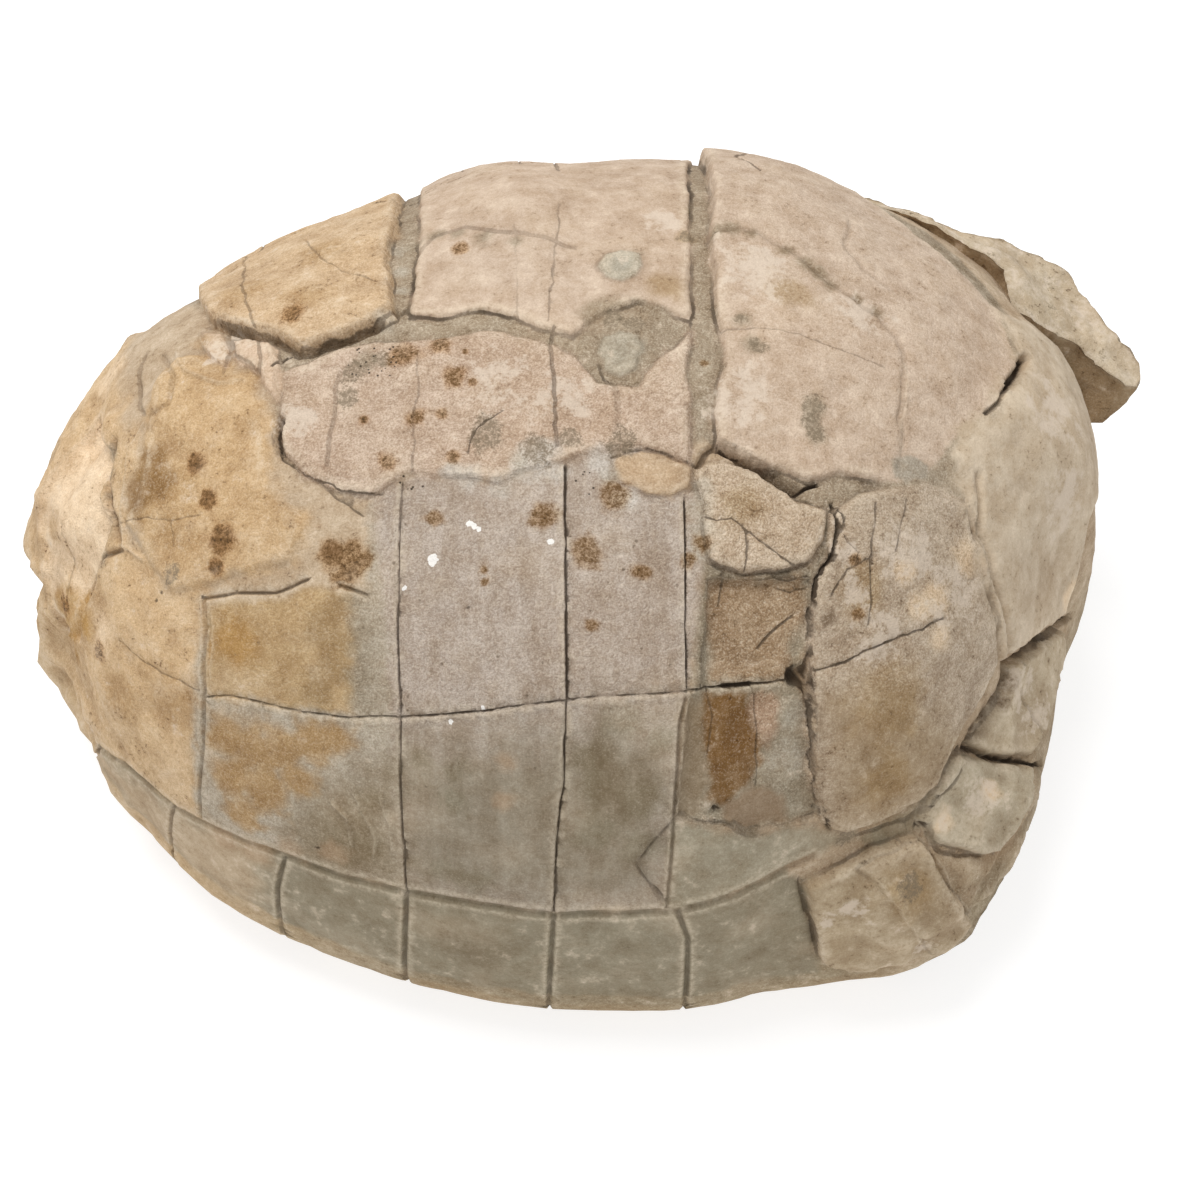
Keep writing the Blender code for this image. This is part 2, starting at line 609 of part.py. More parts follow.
def slab_loops():
    """Top, middle and bottom edge of the slab."""
    trace = [edge for edge, height in SLAB_EDGE]
    heights = np.array([height for edge, height in SLAB_EDGE]) * MM
    rays = view_rays(trace)
    top = EYE + rays * ((heights - EYE[2]) / rays[:, 2])[:, None]
    out = top[:, :2] / np.linalg.norm(top[:, :2], axis=1, keepdims=True)
    middle = top + np.column_stack([-out * SLAB_UNDERCUT * 0.25, np.full(len(top), -SLAB_THICKNESS * 0.5)])
    bottom = top + np.column_stack([-out * SLAB_UNDERCUT, np.full(len(top), -SLAB_THICKNESS)])
    middle += 0.0012 * waves(middle, 0.011)[:, None] * np.column_stack([out, np.zeros(len(top))])
    return top, middle, bottom


def slab_mesh():
    """The displaced slab as a closed block with rough sides."""
    shape = bmesh.new()
    loops = [[shape.verts.new(p) for p in loop] for loop in slab_loops()]
    for above, below in zip(loops, loops[1:]):
        for i in range(len(above)):
            after = (i + 1) % len(above)
            shape.faces.new([above[i], below[i], below[after], above[after]])
    for ring in (loops[0], loops[-1]):
        edges = [shape.edges.get([ring[i], ring[i - 1]]) for i in range(len(ring))]
        bmesh.ops.triangle_fill(shape, edges=edges, use_beauty=True)
    bmesh.ops.triangulate(shape, faces=shape.faces)
    bmesh.ops.recalc_face_normals(shape, faces=shape.faces)
    mesh = bpy.data.meshes.new("slab")
    shape.to_mesh(mesh)
    shape.free()
    return mesh


def stone():
    """Pale buff stone, dry and dull."""
    material = bpy.data.materials.new("fossil_stone")
    material.use_nodes = True
    shader = material.node_tree.nodes["Principled BSDF"]
    shader.inputs["Base Color"].default_value = (0.47, 0.37, 0.26, 1.0)
    shader.inputs["Roughness"].default_value = 0.88
    shader.inputs["Metallic"].default_value = 0.0
    return material


def main():
    """Build the shell and join the slab to it."""
    for item in list(bpy.data.objects):
        bpy.data.objects.remove(item, do_unlink=True)
    parts = bpy.data.collections.new("fossil_turtle")
    helpers = bpy.data.collections.new("helpers")
    bpy.context.scene.collection.children.link(parts)
    bpy.context.scene.collection.children.link(helpers)

    shell = bpy.data.objects.new(NAME, body_mesh())
    shell.data.materials.append(stone())
    parts.objects.link(shell)

    slab = bpy.data.objects.new("slab", slab_mesh())
    slab.hide_render = True
    slab.display_type = "WIRE"
    helpers.objects.link(slab)

    join = shell.modifiers.new("slab", "BOOLEAN")
    join.operation = "UNION"
    join.solver = "EXACT"
    join.object = slab


main()
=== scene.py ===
import math

import bpy
import numpy as np
from mathutils import Euler, Matrix, Vector, kdtree, noise
from mathutils.geometry import delaunay_2d_cdt


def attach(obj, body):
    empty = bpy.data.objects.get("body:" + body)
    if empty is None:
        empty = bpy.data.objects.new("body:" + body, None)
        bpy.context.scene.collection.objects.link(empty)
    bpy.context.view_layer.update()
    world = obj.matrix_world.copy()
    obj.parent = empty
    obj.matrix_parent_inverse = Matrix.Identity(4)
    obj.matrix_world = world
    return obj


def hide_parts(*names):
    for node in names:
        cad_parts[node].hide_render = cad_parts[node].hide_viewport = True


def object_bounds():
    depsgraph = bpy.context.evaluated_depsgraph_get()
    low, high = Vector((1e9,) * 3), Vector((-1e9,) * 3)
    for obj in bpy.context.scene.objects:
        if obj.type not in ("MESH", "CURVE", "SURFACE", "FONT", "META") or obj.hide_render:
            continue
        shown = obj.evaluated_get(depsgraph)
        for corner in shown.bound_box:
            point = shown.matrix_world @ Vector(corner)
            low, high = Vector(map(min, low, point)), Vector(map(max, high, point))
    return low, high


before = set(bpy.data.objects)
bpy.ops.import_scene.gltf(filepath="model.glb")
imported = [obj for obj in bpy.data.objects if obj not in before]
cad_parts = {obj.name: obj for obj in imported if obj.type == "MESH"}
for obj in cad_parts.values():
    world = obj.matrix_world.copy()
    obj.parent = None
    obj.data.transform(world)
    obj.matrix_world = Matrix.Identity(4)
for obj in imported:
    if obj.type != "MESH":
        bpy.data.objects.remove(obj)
CAD_BOX = [list(corner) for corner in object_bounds()]

MM = 0.001


def numbers(text):
    """Rows of numbers from a plain list such as "12,34 56,78"."""
    return np.array([[float(number) for number in word.split(",")] for word in text.split()])


def table(text):
    """Table rows: a name or values, then points. A bar starts another list of points, and an indented
    line goes on with the row above it."""
    rows = []
    for row in text.strip().replace("\n ", " ").split("\n"):
        parts = [part.split() for part in row.split("|")]
        values = [word if word[0].isalpha() else float(word) for word in parts[0] if "," not in word]
        rows.append((*values, *(numbers(" ".join(word for word in part if "," in word)) for part in parts)))
    return rows


# Sizes
TOP_HEIGHT = 0.204
BELLY_CUT = 0.006
BELLY_ROUNDNESS = 3.0
WAVE_HEIGHT = 0.0011
WAVE_LENGTH = 0.042
WORN_END_HEIGHT = 0.0065
WORN_END_LENGTH = 0.030
SLAB_THICKNESS = 0.020
SLAB_UNDERCUT = 0.012
SLAB_ROUGHNESS = 0.0020
RIM_LENGTH = 1.16

# Lines stop short of the rim of a chart, as a share of its radius, and the points beside them too
RIM_LIMIT = 0.985
NEAR_RIM = 0.990
# Of the points beside the lines, one is kept in each cell, and none nearer to a line than this gap
CELL = 0.0008
LINE_GAP = 0.00028
CHART_MERGE = 2e-5

# Widths of the dark foot, the painted shade and the worn crest with its painted highlight along the edge of a
# plate
FOOT_WIDTH = 0.0006
EDGE_SHADE_WIDTH = 0.003
CREST_WIDTH = 0.0014

TOP_SPACING = 0.0022
BELLY_SPACING = 0.0048
LINE_SPACING = 0.0019
BELLY_LINE_SPACING = 0.0032
RIM_SPACING = 0.0025
SLAB_SPACING = 0.0018
SLAB_ROWS = 12

# Direction in degrees, radius and rim height in millimetres, and how square the dome is there
OUTLINE = numbers("""
0,196,52,2.7 30,202,52,2.5 60,186,38,2.4 90,171,32,2.35 106,173,32,2.45 124,176,34,2.23 150,197,44,2.18
165,206,50,2.5 180,211,55,2.52 195,197,48,2.5 210,187,40,2.45 240,165,30,2.3 270,160,26,2.35
285,165,26,2.38 300,167,26,2.42 318,172,32,2.55 336,174,42,2.65 350,181,48,2.7
""")
FLARE = 0.0225
FLARE_ANGLE = 317.0
FLARE_BEFORE = 26.0
FLARE_AFTER = 46.0
FLARE_TOP = 0.100
FLARE_FULL = 0.058

# The view that the traced points were read in
VIEW_TILT = math.radians(54.0)
VIEW_DISTANCE = 1.05
VIEW_REACH = 0.3
VIEW_STEPS = 1201
VIEW_TARGET = np.array([0.0, 0.0, 0.085])
VIEW_CENTRE = (583.0, 551.0)
VIEW_FOCAL = 2766.7
IMAGE_MIDDLE = 600.0
RIGHT = np.array([1.0, 0.0, 0.0])
FORWARD = np.array([0.0, math.cos(VIEW_TILT), -math.sin(VIEW_TILT)])
UPWARD = np.array([0.0, math.sin(VIEW_TILT), math.cos(VIEW_TILT)])
EYE = VIEW_TARGET - VIEW_DISTANCE * FORWARD
VIEW_POINT = 0.00038
LENS = 83.0
SENSOR_WIDTH = 36.0

# Lights: name, place, the point they face, diameter and power
LIGHTS = (("overhead", (-0.42, 0.35, 1.87), (0.0, 0.0, 0.05), 1.1, 26.0),
          ("front_fill", (0.5, -1.9, 1.5), (0.0, 0.0, 0.08), 1.6, 5.0))
WORLD_STRENGTH = 0.56
FLOOR_REACH = 6
FLOOR_TONE = 0.44
FLOOR_GLOW = 0.72
WHITE_LIGHT = (1.0, 1.0, 1.0, 1.0)
BUMP_DEPTH = 0.0011
# Share of each colour that the painted shade in hollows, grooves and beside plate edges takes away
SHADE = (0.50, 0.58, 0.66)

# The crumbled ends: direction and reach in degrees, and how much at the other ends than the left one
LEFT_END = (172.0, 50.0)
OTHER_ENDS = ((322.0, 30.0, 0.55), (40.0, 40.0, 0.40))
# The left end's colour goes a little further round, and both fade out upwards
LEFT_COLOUR = (190.0, 40.0)
LEFT_TOP = 0.16
LEFT_FADE = 0.08

# Lines: width, depth and lip in millimetres, how dark, then the trace
NEAR_LINES = table("""
0.8 1.3 0.35 0.6 403,482 400,560 398,640 400,705
0.9 1.4 0.45 0.5 400,715 399,780 402,850 404,892
0.95 1.9 0.35 1 566,466 566,550 566,629 566,697
0.9 1.5 0.45 0.7 565,704 562,784 555,834 551,914
0.8 1.7 0.3 0.9 685,502 686,558 685,630 686,690
1.4 1.2 0.4 0.15 685,700 679,726 672,817 664,910
0.9 0.9 0.45 0.4 207,693 225,692 250,697 303,710 348,715 400,715
0.9 1.2 0.8 0.6 400,715 440,713 479,710 565,700
0.9 1 0.8 0.3 565,700 620,696 688,692
0.9 1.6 0.4 0.7 688,691 706,690 725,689
1.9 2.4 0.3 1 725,689 752,687
0.9 1.6 0.4 0.6 752,687 770,686 786,684
1.7 1 0.5 0.15 205,597 206,632 205,690 202,743 199,814
1.3 1.1 0.5 0.45 205,596 237,590 275,590 290,585 308,577
1.5 0.9 0.3 0.35 340,584 352,587 367,593
3.6 1.4 0.08 0.1 96,737 121,759 169,801 236,836 335,874 402,890 503,908 553,916 614,916 675,911 737,893
 783,872 812,860
5 6.5 0.0 1 722,450 747,464 775,480 797,494
1.5 2.4 0.0 0.9 796,496 806,491 818,487
3.4 3 0.0 0.55 699,468 706,456 717,447
1.5 3 0.0 0.85 833,507 835,532 831,556 816,581 811,610 808,656 800,672
1.3 2.6 0.0 0.8 806,692 809,712 811,760 816,800 826,830
3.6 5.5 0.0 1 1023,364 1006,392
2.2 2.8 0.0 0.7 1006,392 984,418
3.4 4.4 0.0 0.75 1003,670 1038,642 1072,621
2.2 4 0.0 0.9 962,753 986,760 1017,766 1040,768
4.2 3.2 0.0 0.1 974,481 976,538 986,566 990,591 998,613 1003,667
6.4 4.6 0.0 0.35 1007,674 997,700 980,726 966,748
4.6 2.4 0.0 0.5 209,320 255,333 281,339 301,353 339,344 377,329 400,312
3.4 4.2 0.0 1 285,420 281,434 284,452
3.6 4.2 0.0 0.5 114,436 103,470 109,497 115,517 117,537
3.4 2.8 0.0 0.3 120,546 102,552 94,565 85,590
""")

# Fine cracks, and ridges where the depth is below zero
NEAR_CRACKS = table("""
3.6 1 0.12 715,245 738,243 760,246 790,262 812,276 830,290 856,303 884,322 900,345 905,385 902,435 897,473
2.8 0.8 0.1 850,232 846,256 868,280 893,296
2 -0.5 0.0 905,368 904,420 898,468
3 0.7 0.25 420,260 440,240 470,232 502,236 559,246 578,252
0.9 0.4 0.35 723,336 778,336 841,355 886,371
1.1 0.45 0.3 420,355 417,406 415,470
1 0.5 0.35 563,210 559,254 555,290 551,324
0.9 0.3 0.15 519,230 521,280 520,322
1.6 0.8 0.45 557,330 556,393 559,446
2.6 0.6 0.15 616,385 618,410 620,438
1.1 0.7 0.7 812,671 837,666 861,654 882,644 904,637 937,621
0.9 0.5 0.5 872,507 870,535 868,562
0.9 0.5 0.4 903,503 897,530 890,555
1.1 0.6 0.6 829,597 836,583 845,573 863,562
1 0.6 0.6 706,520 716,524 730,522 741,528 757,544 778,560 792,567
1.6 1.1 0.5 710,563 718,570 740,575 775,574 806,566
1.2 0.6 0.6 794,619 780,628 772,636 760,650
2 1 0.35 951,768 943,782 931,795 919,806 903,822 881,828 855,838
2 1.2 0.4 921,824 925,840 940,857 978,859
3 1.8 0.45 798,884 801,900 804,915 812,945
1.5 0.9 0.3 672,817 719,824 747,835 782,830 814,821
1.3 0.8 0.3 672,820 655,840 632,866 650,888 664,905
1.7 1.3 0.7 278,366 301,353 339,343 377,328 398,313
1 0.6 0.7 285,458 308,473 339,486 359,493 382,493
1 0.6 0.55 304,472 330,490 350,505 364,514
0.8 0.35 0.35 122,519 153,513 183,518 204,513
0.8 0.35 0.3 175,519 177,542
0.9 0.4 0.35 119,636 135,652 165,670 199,687
1.2 0.7 0.35 245,255 251,300 262,331
1.1 0.6 0.3 314,250 330,268 352,282 382,290
1.4 0.9 0.35 232,328 234,352 228,372
1.4 0.9 0.35 262,338 268,356 262,374
1.2 0.6 0.2 60,520 66,560 62,600
2.8 1.4 0.25 150,350 138,385 146,410
2 1 0.3 232,335 238,352 256,366 262,374
2.4 -1 0.0 222,322 250,328 272,338 281,360 284,392
2 -0.8 0.0 203,330 206,346 226,362
2 -0.7 0.0 330,263 352,258 392,247
2.4 -1.2 0.0 180,350 196,372 222,384 246,380
2.8 1.2 0.15 165,352 182,378 176,404 152,416
2 -1.3 0.0 330,800 345,815 350,840
2 -1.4 0.0 352,790 365,812 375,838 372,856
1.8 -1.1 0.0 380,800 388,822 390,850
1.2 0.7 0.75 612,458 643,450 668,456 693,467
1 0.6 0.6 470,452 472,440 480,428 505,412
1.2 0.6 0.6 600,366 606,380 614,387
1.8 0.7 0.25 345,372 338,400 333,430 330,465
1 0.6 0.6 722,572 724,590 720,606
0.9 0.5 0.6 744,532 745,550 743,573
1 0.6 0.6 772,578 790,582 806,578
0.9 0.5 0.5 780,590 792,593 806,590
1 0.6 0.7 838,512 842,524 838,536
0.9 0.5 0.6 866,560 868,590 866,626
0.9 0.5 0.5 846,546 856,556 852,570
1 0.5 0.4 708,690 712,720 708,760
0.9 0.5 0.4 757,700 760,740 757,790
1.8 0.9 0.15 1010,690 1022,716 1036,740
2.2 -0.9 0.0 150,417 133,445 122,509 124,542 142,555
2.2 -0.7 0.0 870,876 885,897 903,920 923,946
2 -0.7 0.0 931,856 945,880 955,901 966,915 976,929
2.4 -0.6 0.0 966,500 969,538 978,566 983,591 991,613 997,655
1.8 -0.6 0.0 212,600 213,640 212,690
""")
NEAR_RIM_JOINTS = table("""
101,740 96,762
171,804 169,850
281,858 274,887 277,922
404,892 402,935 401,970
551,914 547,968 545,997
675,912 685,940 682,1003
""")

# Plates: name, rise and edge width in millimetres, how dark round the edge, trace, then plan points
PLATES = table("""
far_block 7 1.8 0.5 842,186 924,234 956,259 988,291 1004,312 1023,365 1007,393 982,419 951,456 923,481
 902,486 877,479 845,474 814,482 775,467 721,446 719,438 725,365 719,307 715,253 715,196 707,148 | 50,150
 76,147 92,128
ochre_block 4.6 2.2 0.45 405,190 398,225 390,255 395,290 398,312 357,327 319,342 301,350 281,335 255,330
 224,322 209,317 200,300 | -144,84 -134,106 -108,128 -74,141
brown_top 2.6 1.8 0.3 695,467 716,460 751,467 796,496 830,512 828,540 810,567 775,574 740,575 710,563
 705,505
right_big 2.6 2 0.2 832,515 870,492 925,485 972,505 979,540 989,589 998,624 1000,667 983,702 957,745 937,789
 916,807 881,828 845,838 824,831 814,786 810,733 811,645 815,580 831,554
right_edge 3.4 2.4 0.12 1004,312 1061,345 1100,430 1096,520 1080,590 1069,621 1038,642 1003,667 998,624
 989,589 979,540 972,505 951,456 982,419 1007,393 1023,365
rim_a 4.4 1.6 0.3 1016,670 1040,648 1067,627 1066,660 1052,720 1034,762 998,760 976,752 980,736 995,714
 1010,690
rim_b 4.2 1.6 0.3 960,758 996,767 1032,771 1031,800 1006,862 972,859 937,850 921,824 925,806 940,788
rim_c 4.6 1.8 0.35 806,890 850,868 875,853 916,838 930,856 951,891 972,926 960,944 900,966 850,975 822,965
 812,930
recess -3 2 0.35 706,580 810,580 812,640 797,670 810,690 812,790 822,822 782,830 747,835 719,824 674,818
 680,770 688,700 700,690
pink_mid 1.6 1.8 0.2 282,371 279,420 281,448 306,473 339,489 367,494 410,470 500,480 560,460 640,445 693,467
 695,403 693,330 640,385 600,380 560,345 530,337 491,327 433,337 376,337 330,350
pink_far 1.8 1.4 0.6 412,312 443,314 484,309 517,314 537,324 575,335 600,316 640,300 693,320 693,228 693,170
 | 44,148 0,150 -60,144
left_mid 1.8 3.2 0.0 143,443 138,479 120,517 143,555 170,590 205,580 290,560 306,520 270,470 268,420 255,372
 200,350 170,360 150,400
left_hollow -2.6 3 0.05 90,405 110,443 99,489 112,517 104,547 92,590 78,640 54,630 42,560 40,505 60,450
far_chip -2.8 2 0.25 | 58,148 80,143 101,150 106,158 84,166 62,164
boss_a 0.8 1.4 0.15 602,269 608,258 624,254 641,258 647,269 640,280 624,284 609,280
boss_b 0.9 1.6 0.15 599,352 606,336 622,330 640,335 646,352 638,370 622,375 606,369
foot_chip -1 1 0.2 648,838 668,840 666,872 664,905 650,888 634,866
grey_piece 0.9 1.4 0.3 893,463 912,460 930,468 926,480 905,488 893,482
tan_piece 0.8 1.2 0.4 612,458 643,451 668,457 692,468 690,488 672,497 648,494 620,478
rim_c_mid 1.5 1.6 0.15 852,868 874,856 914,842 926,858 943,884 962,912 976,934 926,948 905,922 886,898
pale_a 1.2 1.6 0.2 203,326 224,328 231,348 228,366 214,358 204,346
pale_b 1.4 1.8 0.25 234,336 262,334 280,346 286,372 281,402 264,384 258,366 238,362
mortar_pit -0.7 2 0.1 584,318 600,306 622,300 646,304 652,318 640,332 612,330 594,336
""")

# The old repair that was smoothed over: softness in millimetres, and its trace
REPAIR_SOFTNESS = 8.0 * MM
REPAIR = numbers("""
930,300 985,268 1016,298 1064,336 1062,390 1012,452 985,500 940,512 893,500 884,474 915,455 948,400 952,345
""")

# Lines and cracks of the far side: width, depth and raggedness in millimetres, then plan points
FAR_LINES = table("""
1.8 1.2 0.7 -112,112 -117,120 -119,127
1.8 1.2 0.7 -66,118 -70,136 -71,149
1.8 1.2 0.7 -8,108 -10,130 -9,152 -10,162
2.2 1.4 0.7 40,128 38,148 40,162
1.8 1.2 0.7 92,142 88,152
2.4 2 0.7 -112,96 -84,108 -60,104 -34,116 -9,130
1.4 0.8 1.2 -132,70 -118,88 -120,108 -108,120
1.2 0.7 1.2 -60,106 -50,114 -44,124 -46,134
1.6 1 1.2 60,146 66,130 58,112 66,98
1.2 0.7 1.2 66,130 82,122 100,124
1.3 0.8 1.2 -40,140 -24,134 -22,122
1.4 0.8 1.2 20,162 26,148 18,138
1.3 0.7 1.2 -150,96 -140,116 -146,128
""")
# Seam over the far rim plates: direction in degrees, and share of the radius
FAR_RING = numbers("""
150,0.955 135,0.965 118,0.96 100,0.965 82,0.96 65,0.968 48,0.965 34,0.97 18,0.966 2,0.97
""")
FAR_RIM_JOINTS = (140, 124, 109, 95, 80, 66, 53, 41, 26, 10)
RIM_JOINT_WIDTH = 2.1
RIM_JOINT_DEPTH = 1.5
RIM_JOINT_BELOW = 24.0
# The far block's height at its front, as a share of its height further back
BLOCK_FRONT = 0.35
BLOCK_SLOPE = 0.07
BLOCK_LOW_FROM = 0.070
BLOCK_LOW_OVER = 0.045

# Belly: width and depth of each line, and name, rise and edge width of each hollow, then plan points
BELLY_LINES = table("""
2 1.4 -138,2 -96,-3 -52,2 -8,-2 38,3 84,-1 128,2
1.8 1.2 -98,-78 -92,-40 -96,-3 -90,36 -97,76
1.8 1.2 -40,-112 -33,-60 -38,0 -31,58 -39,114
1.8 1.2 34,-114 28,-58 35,3 27,60 33,116
1.8 1.2 92,-76 86,-38 90,0 85,40 93,78
""")
BELLY_PLATES = table("""
pocket_a -13 9 -118,-84 -137,-66 -149,-36 -152,0 -149,38 -136,70 -114,90 -96,112 -122,128 -158,104 -180,66
 -190,0 -172,-66 -146,-98 -112,-120 -88,-112
pocket_b -13 9 104,-86 124,-66 138,-36 142,0 138,38 126,70 104,92 92,116 122,132 158,104 176,60 180,0
 168,-56 150,-92 118,-122 88,-114
""")

# Top edge of the slab: trace and height in millimetres
SLAB_EDGE = numbers("""
852,191,158 925,212,151 969,232,146 1010,240,141 1050,258,137 1078,272,133 1090,296,130 1110,322,127
1136,349,123 1150,374,119 1145,388,118 1132,388,119 1108,369,123 1084,346,129 1060,333,136 1038,320,143
1018,306,149 1016,288,149 1012,270,149 992,254,152 966,241,154 943,226,156 905,210,157 872,203,158
""")

# Broad dents, and bumps where the depth is below zero: trace, radius and depth in millimetres
DENTS = numbers("""
80,430,13,8 62,470,8,3 96,392,8,2.5 134,334,7,-2.5 40,500,8,-1.5 150,318,8,3 44,632,7,1.5 36,560,6,-1
100,460,9,3 70,520,12,-2.5 80,570,9,2.5 120,600,12,-1.5 60,640,8,2.5 175,400,14,-1.5 150,380,7,2.5
168,382,6,-2.5 190,360,6,-2 128,395,6,2.5 110,420,7,-2 1068,722,5,3 1044,770,5,4 1020,864,6,4 994,898,5,3
982,932,6,4 1012,800,8,-1.5 955,820,8,1.5 1030,700,9,-1.5 880,900,9,-1.5 846,930,8,1.5 1045,560,22,2.5
1075,450,18,-2 905,740,22,-2 860,650,16,1 900,560,14,-1.2 770,250,20,1 640,200,24,1 540,200,20,-1
""")

# Pits: trace, radius and depth in millimetres
PITS = numbers("""
799,679,4.4,6.5 806,688,2.6,4 796,686,1.5,2 806,668,1.3,2 717,814,1.7,3 313,846,1.3,1.4 650,770,0.9,0.9
467,606,0.6,0.7 497,601,0.6,0.7 295,613,0.6,0.6 916,826,1.5,1.8 957,752,1.4,2 372,362,0.6,0.6
384,371,0.6,0.6 163,589,1.2,1 155,597,1.2,1 205,595,1.2,1 831,560,1.6,1.8 923,805,1.1,1.4 818,812,1.6,1.8
""")


def smooth(value):
    value = np.clip(value, 0.0, 1.0)
    return value * value * (3.0 - 2.0 * value)


def unit(vectors):
    return vectors / np.maximum(np.linalg.norm(vectors, axis=-1, keepdims=True), 1e-12)


def heading(points):
    """Direction of each point in degrees, seen from above."""
    return np.degrees(np.arctan2(points[..., 1], points[..., 0]))


def around(column, degrees):
    """A column of the outline at any direction, on a smooth curve through its rows."""
    angles, values = OUTLINE[:, 0], OUTLINE[:, column]
    turn = np.mod(degrees, 360.0)
    start = np.searchsorted(angles, turn, side="right") - 1
    after = (start + 1) % len(angles)
    gap = np.mod(angles[after] - angles[start], 360.0)
    t = (turn - angles[start]) / gap
    a, b, c, d = values[start - 1], values[start], values[after], values[(start + 2) % len(angles)]
    bend = (2 * a - 5 * b + 4 * c - d) * t**2 + (3 * b - a - 3 * c + d) * t**3
    return 0.5 * (2 * b + (c - a) * t + bend)


def flare(degrees, height):
    turn = np.mod(degrees - FLARE_ANGLE + 180.0, 360.0) - 180.0
    spread = np.where(turn < 0.0, FLARE_BEFORE, FLARE_AFTER)
    down = (FLARE_TOP - height) / (FLARE_TOP - FLARE_FULL)
    return FLARE * smooth(1.0 - np.abs(turn) / spread) * smooth(down)


def shell_points(direction):
    flat = np.hypot(direction[:, 0], direction[:, 1])
    angle = np.arctan2(direction[:, 1], direction[:, 0])
    degrees = np.degrees(angle)
    upper = direction[:, 2] >= 0.0
    rim = around(2, degrees) * MM
    power = np.where(upper, around(3, degrees), BELLY_ROUNDNESS)
    reach = (flat**power + np.abs(direction[:, 2]) ** power) ** (-1.0 / power)
    height = rim + direction[:, 2] * reach * np.where(upper, TOP_HEIGHT - rim, rim + BELLY_CUT)
    height = np.maximum(height, 0.0)
    fade = np.where(upper, 1.0, smooth((flat * reach - 0.6) / 0.35))
    out = flat * reach * around(1, degrees) * MM + flare(degrees, height) * fade
    return np.column_stack([out * np.cos(angle), out * np.sin(angle), height])


def outside(points, lift):
    degrees = heading(points)
    rim = around(2, degrees) * MM
    radius = around(1, degrees) * MM + lift
    spread = (np.hypot(points[..., 0], points[..., 1]) - flare(degrees, points[..., 2])) / radius
    upper = points[..., 2] >= rim
    rise = (points[..., 2] - rim) / np.where(upper, TOP_HEIGHT + lift - rim, rim)
    power = np.where(upper, around(3, degrees), BELLY_ROUNDNESS)
    spread = np.maximum(spread, 0.0)
    value = spread**power + np.abs(rise) ** power - 1.0
    turn = np.radians(degrees)
    direction = np.stack([spread * np.cos(turn), spread * np.sin(turn), np.maximum(rise, 0.0)], axis=-1)
    return value, unit(direction)


def view_rays(trace):
    trace = np.asarray(trace, float)
    across = (trace[:, 0:1] - VIEW_CENTRE[0]) / VIEW_FOCAL
    down = (trace[:, 1:2] - VIEW_CENTRE[1]) / VIEW_FOCAL
    return FORWARD + across * RIGHT - down * UPWARD


def from_view(trace, lift=0.0):
    steps = np.linspace(VIEW_DISTANCE - VIEW_REACH, VIEW_DISTANCE + VIEW_REACH, VIEW_STEPS)
    points = EYE + view_rays(trace)[:, None, :] * steps[None, :, None]
    value, direction = outside(points, lift)
    met = value < 0.0
    place_index = np.where(met.any(axis=1), met.argmax(axis=1), value.argmin(axis=1))
    return direction[np.arange(len(place_index)), place_index]


def from_polar(angle, spread, side):
    spread = np.minimum(spread, 1.0)
    power = around(3, np.degrees(angle)) if side > 0 else BELLY_ROUNDNESS
    rise = side * (1.0 - spread**power) ** (1.0 / power)
    return unit(np.column_stack([spread * np.cos(angle), spread * np.sin(angle), rise]))


def from_plan(plan, side):
    plan = np.asarray(plan, float)
    angle = np.arctan2(plan[:, 1], plan[:, 0])
    spread = np.hypot(plan[:, 0], plan[:, 1]) / around(1, np.degrees(angle))
    return from_polar(angle, spread, side)


def to_chart(direction):
    return direction[:, :2] / (1.0 + np.abs(direction[:, 2:3]))


def from_chart(chart, side):
    square = (chart**2).sum(axis=1)
    height = side * np.maximum(1.0 - square, 0.0) / (1.0 + square)
    return np.column_stack([2.0 * chart / (1.0 + square)[:, None], height])


def place(chart, side):
    return shell_points(from_chart(chart, side))


def outward(chart, side):
    step = 0.004
    inner = chart * (1.0 - step)
    u = place(inner + (step, 0.0), side) - place(inner - (step, 0.0), side)
    v = place(inner + (0.0, step), side) - place(inner - (0.0, step), side)
    return unit(np.cross(u, v) * side)


def looped(chart):
    return np.vstack([chart, chart[:1]])


def stepped(ends, points, spacing):
    """Ends with even steps put in between, as many as the distances of the points ask for."""
    pieces = []
    for i in range(len(ends) - 1):
        count = max(1, round(float(np.linalg.norm(points[i + 1] - points[i])) / spacing))
        pieces.append(ends[i] + (ends[i + 1] - ends[i]) * (np.arange(count) / count)[:, None])
    return pieces


def divided(chart, side, spacing, closed):
    ends = looped(chart) if closed else chart
    pieces = stepped(ends, place(ends, side), spacing)
    return np.vstack(pieces if closed else pieces + [ends[-1:]])


def beside(chart, side, shift, closed):
    if closed:
        run = np.roll(chart, -1, axis=0) - np.roll(chart, 1, axis=0)
    else:
        run = np.gradient(chart, axis=0)
    turn = unit(np.column_stack([-run[:, 1], run[:, 0]]))
    probe = 0.003 * turn
    inner = chart * 0.994
    size = np.linalg.norm(place(inner + probe, side) - place(inner - probe, side), axis=1) / 0.006
    return chart + turn * (shift / size)[:, None]


def jittered(chart, side, amount, length, closed):
    """Ragged version of a line, the same in every run."""
    points = place(chart, side)
    finer = [noise.noise(Vector(p) / (0.35 * length) + Vector((3, 1, 2))) for p in points]
    shift = amount * (waves(points, length) + 0.6 * np.array(finer))
    if not closed:
        ends = np.minimum(np.arange(len(chart)), np.arange(len(chart))[::-1])
        shift = shift * np.clip(ends / 4.0, 0.0, 1.0)
    return beside(chart, side, shift, closed)


def area_sign(chart):
    after = np.roll(chart, -1, axis=0)
    return 1.0 if (chart[:, 0] * after[:, 1] - after[:, 0] * chart[:, 1]).sum() > 0.0 else -1.0


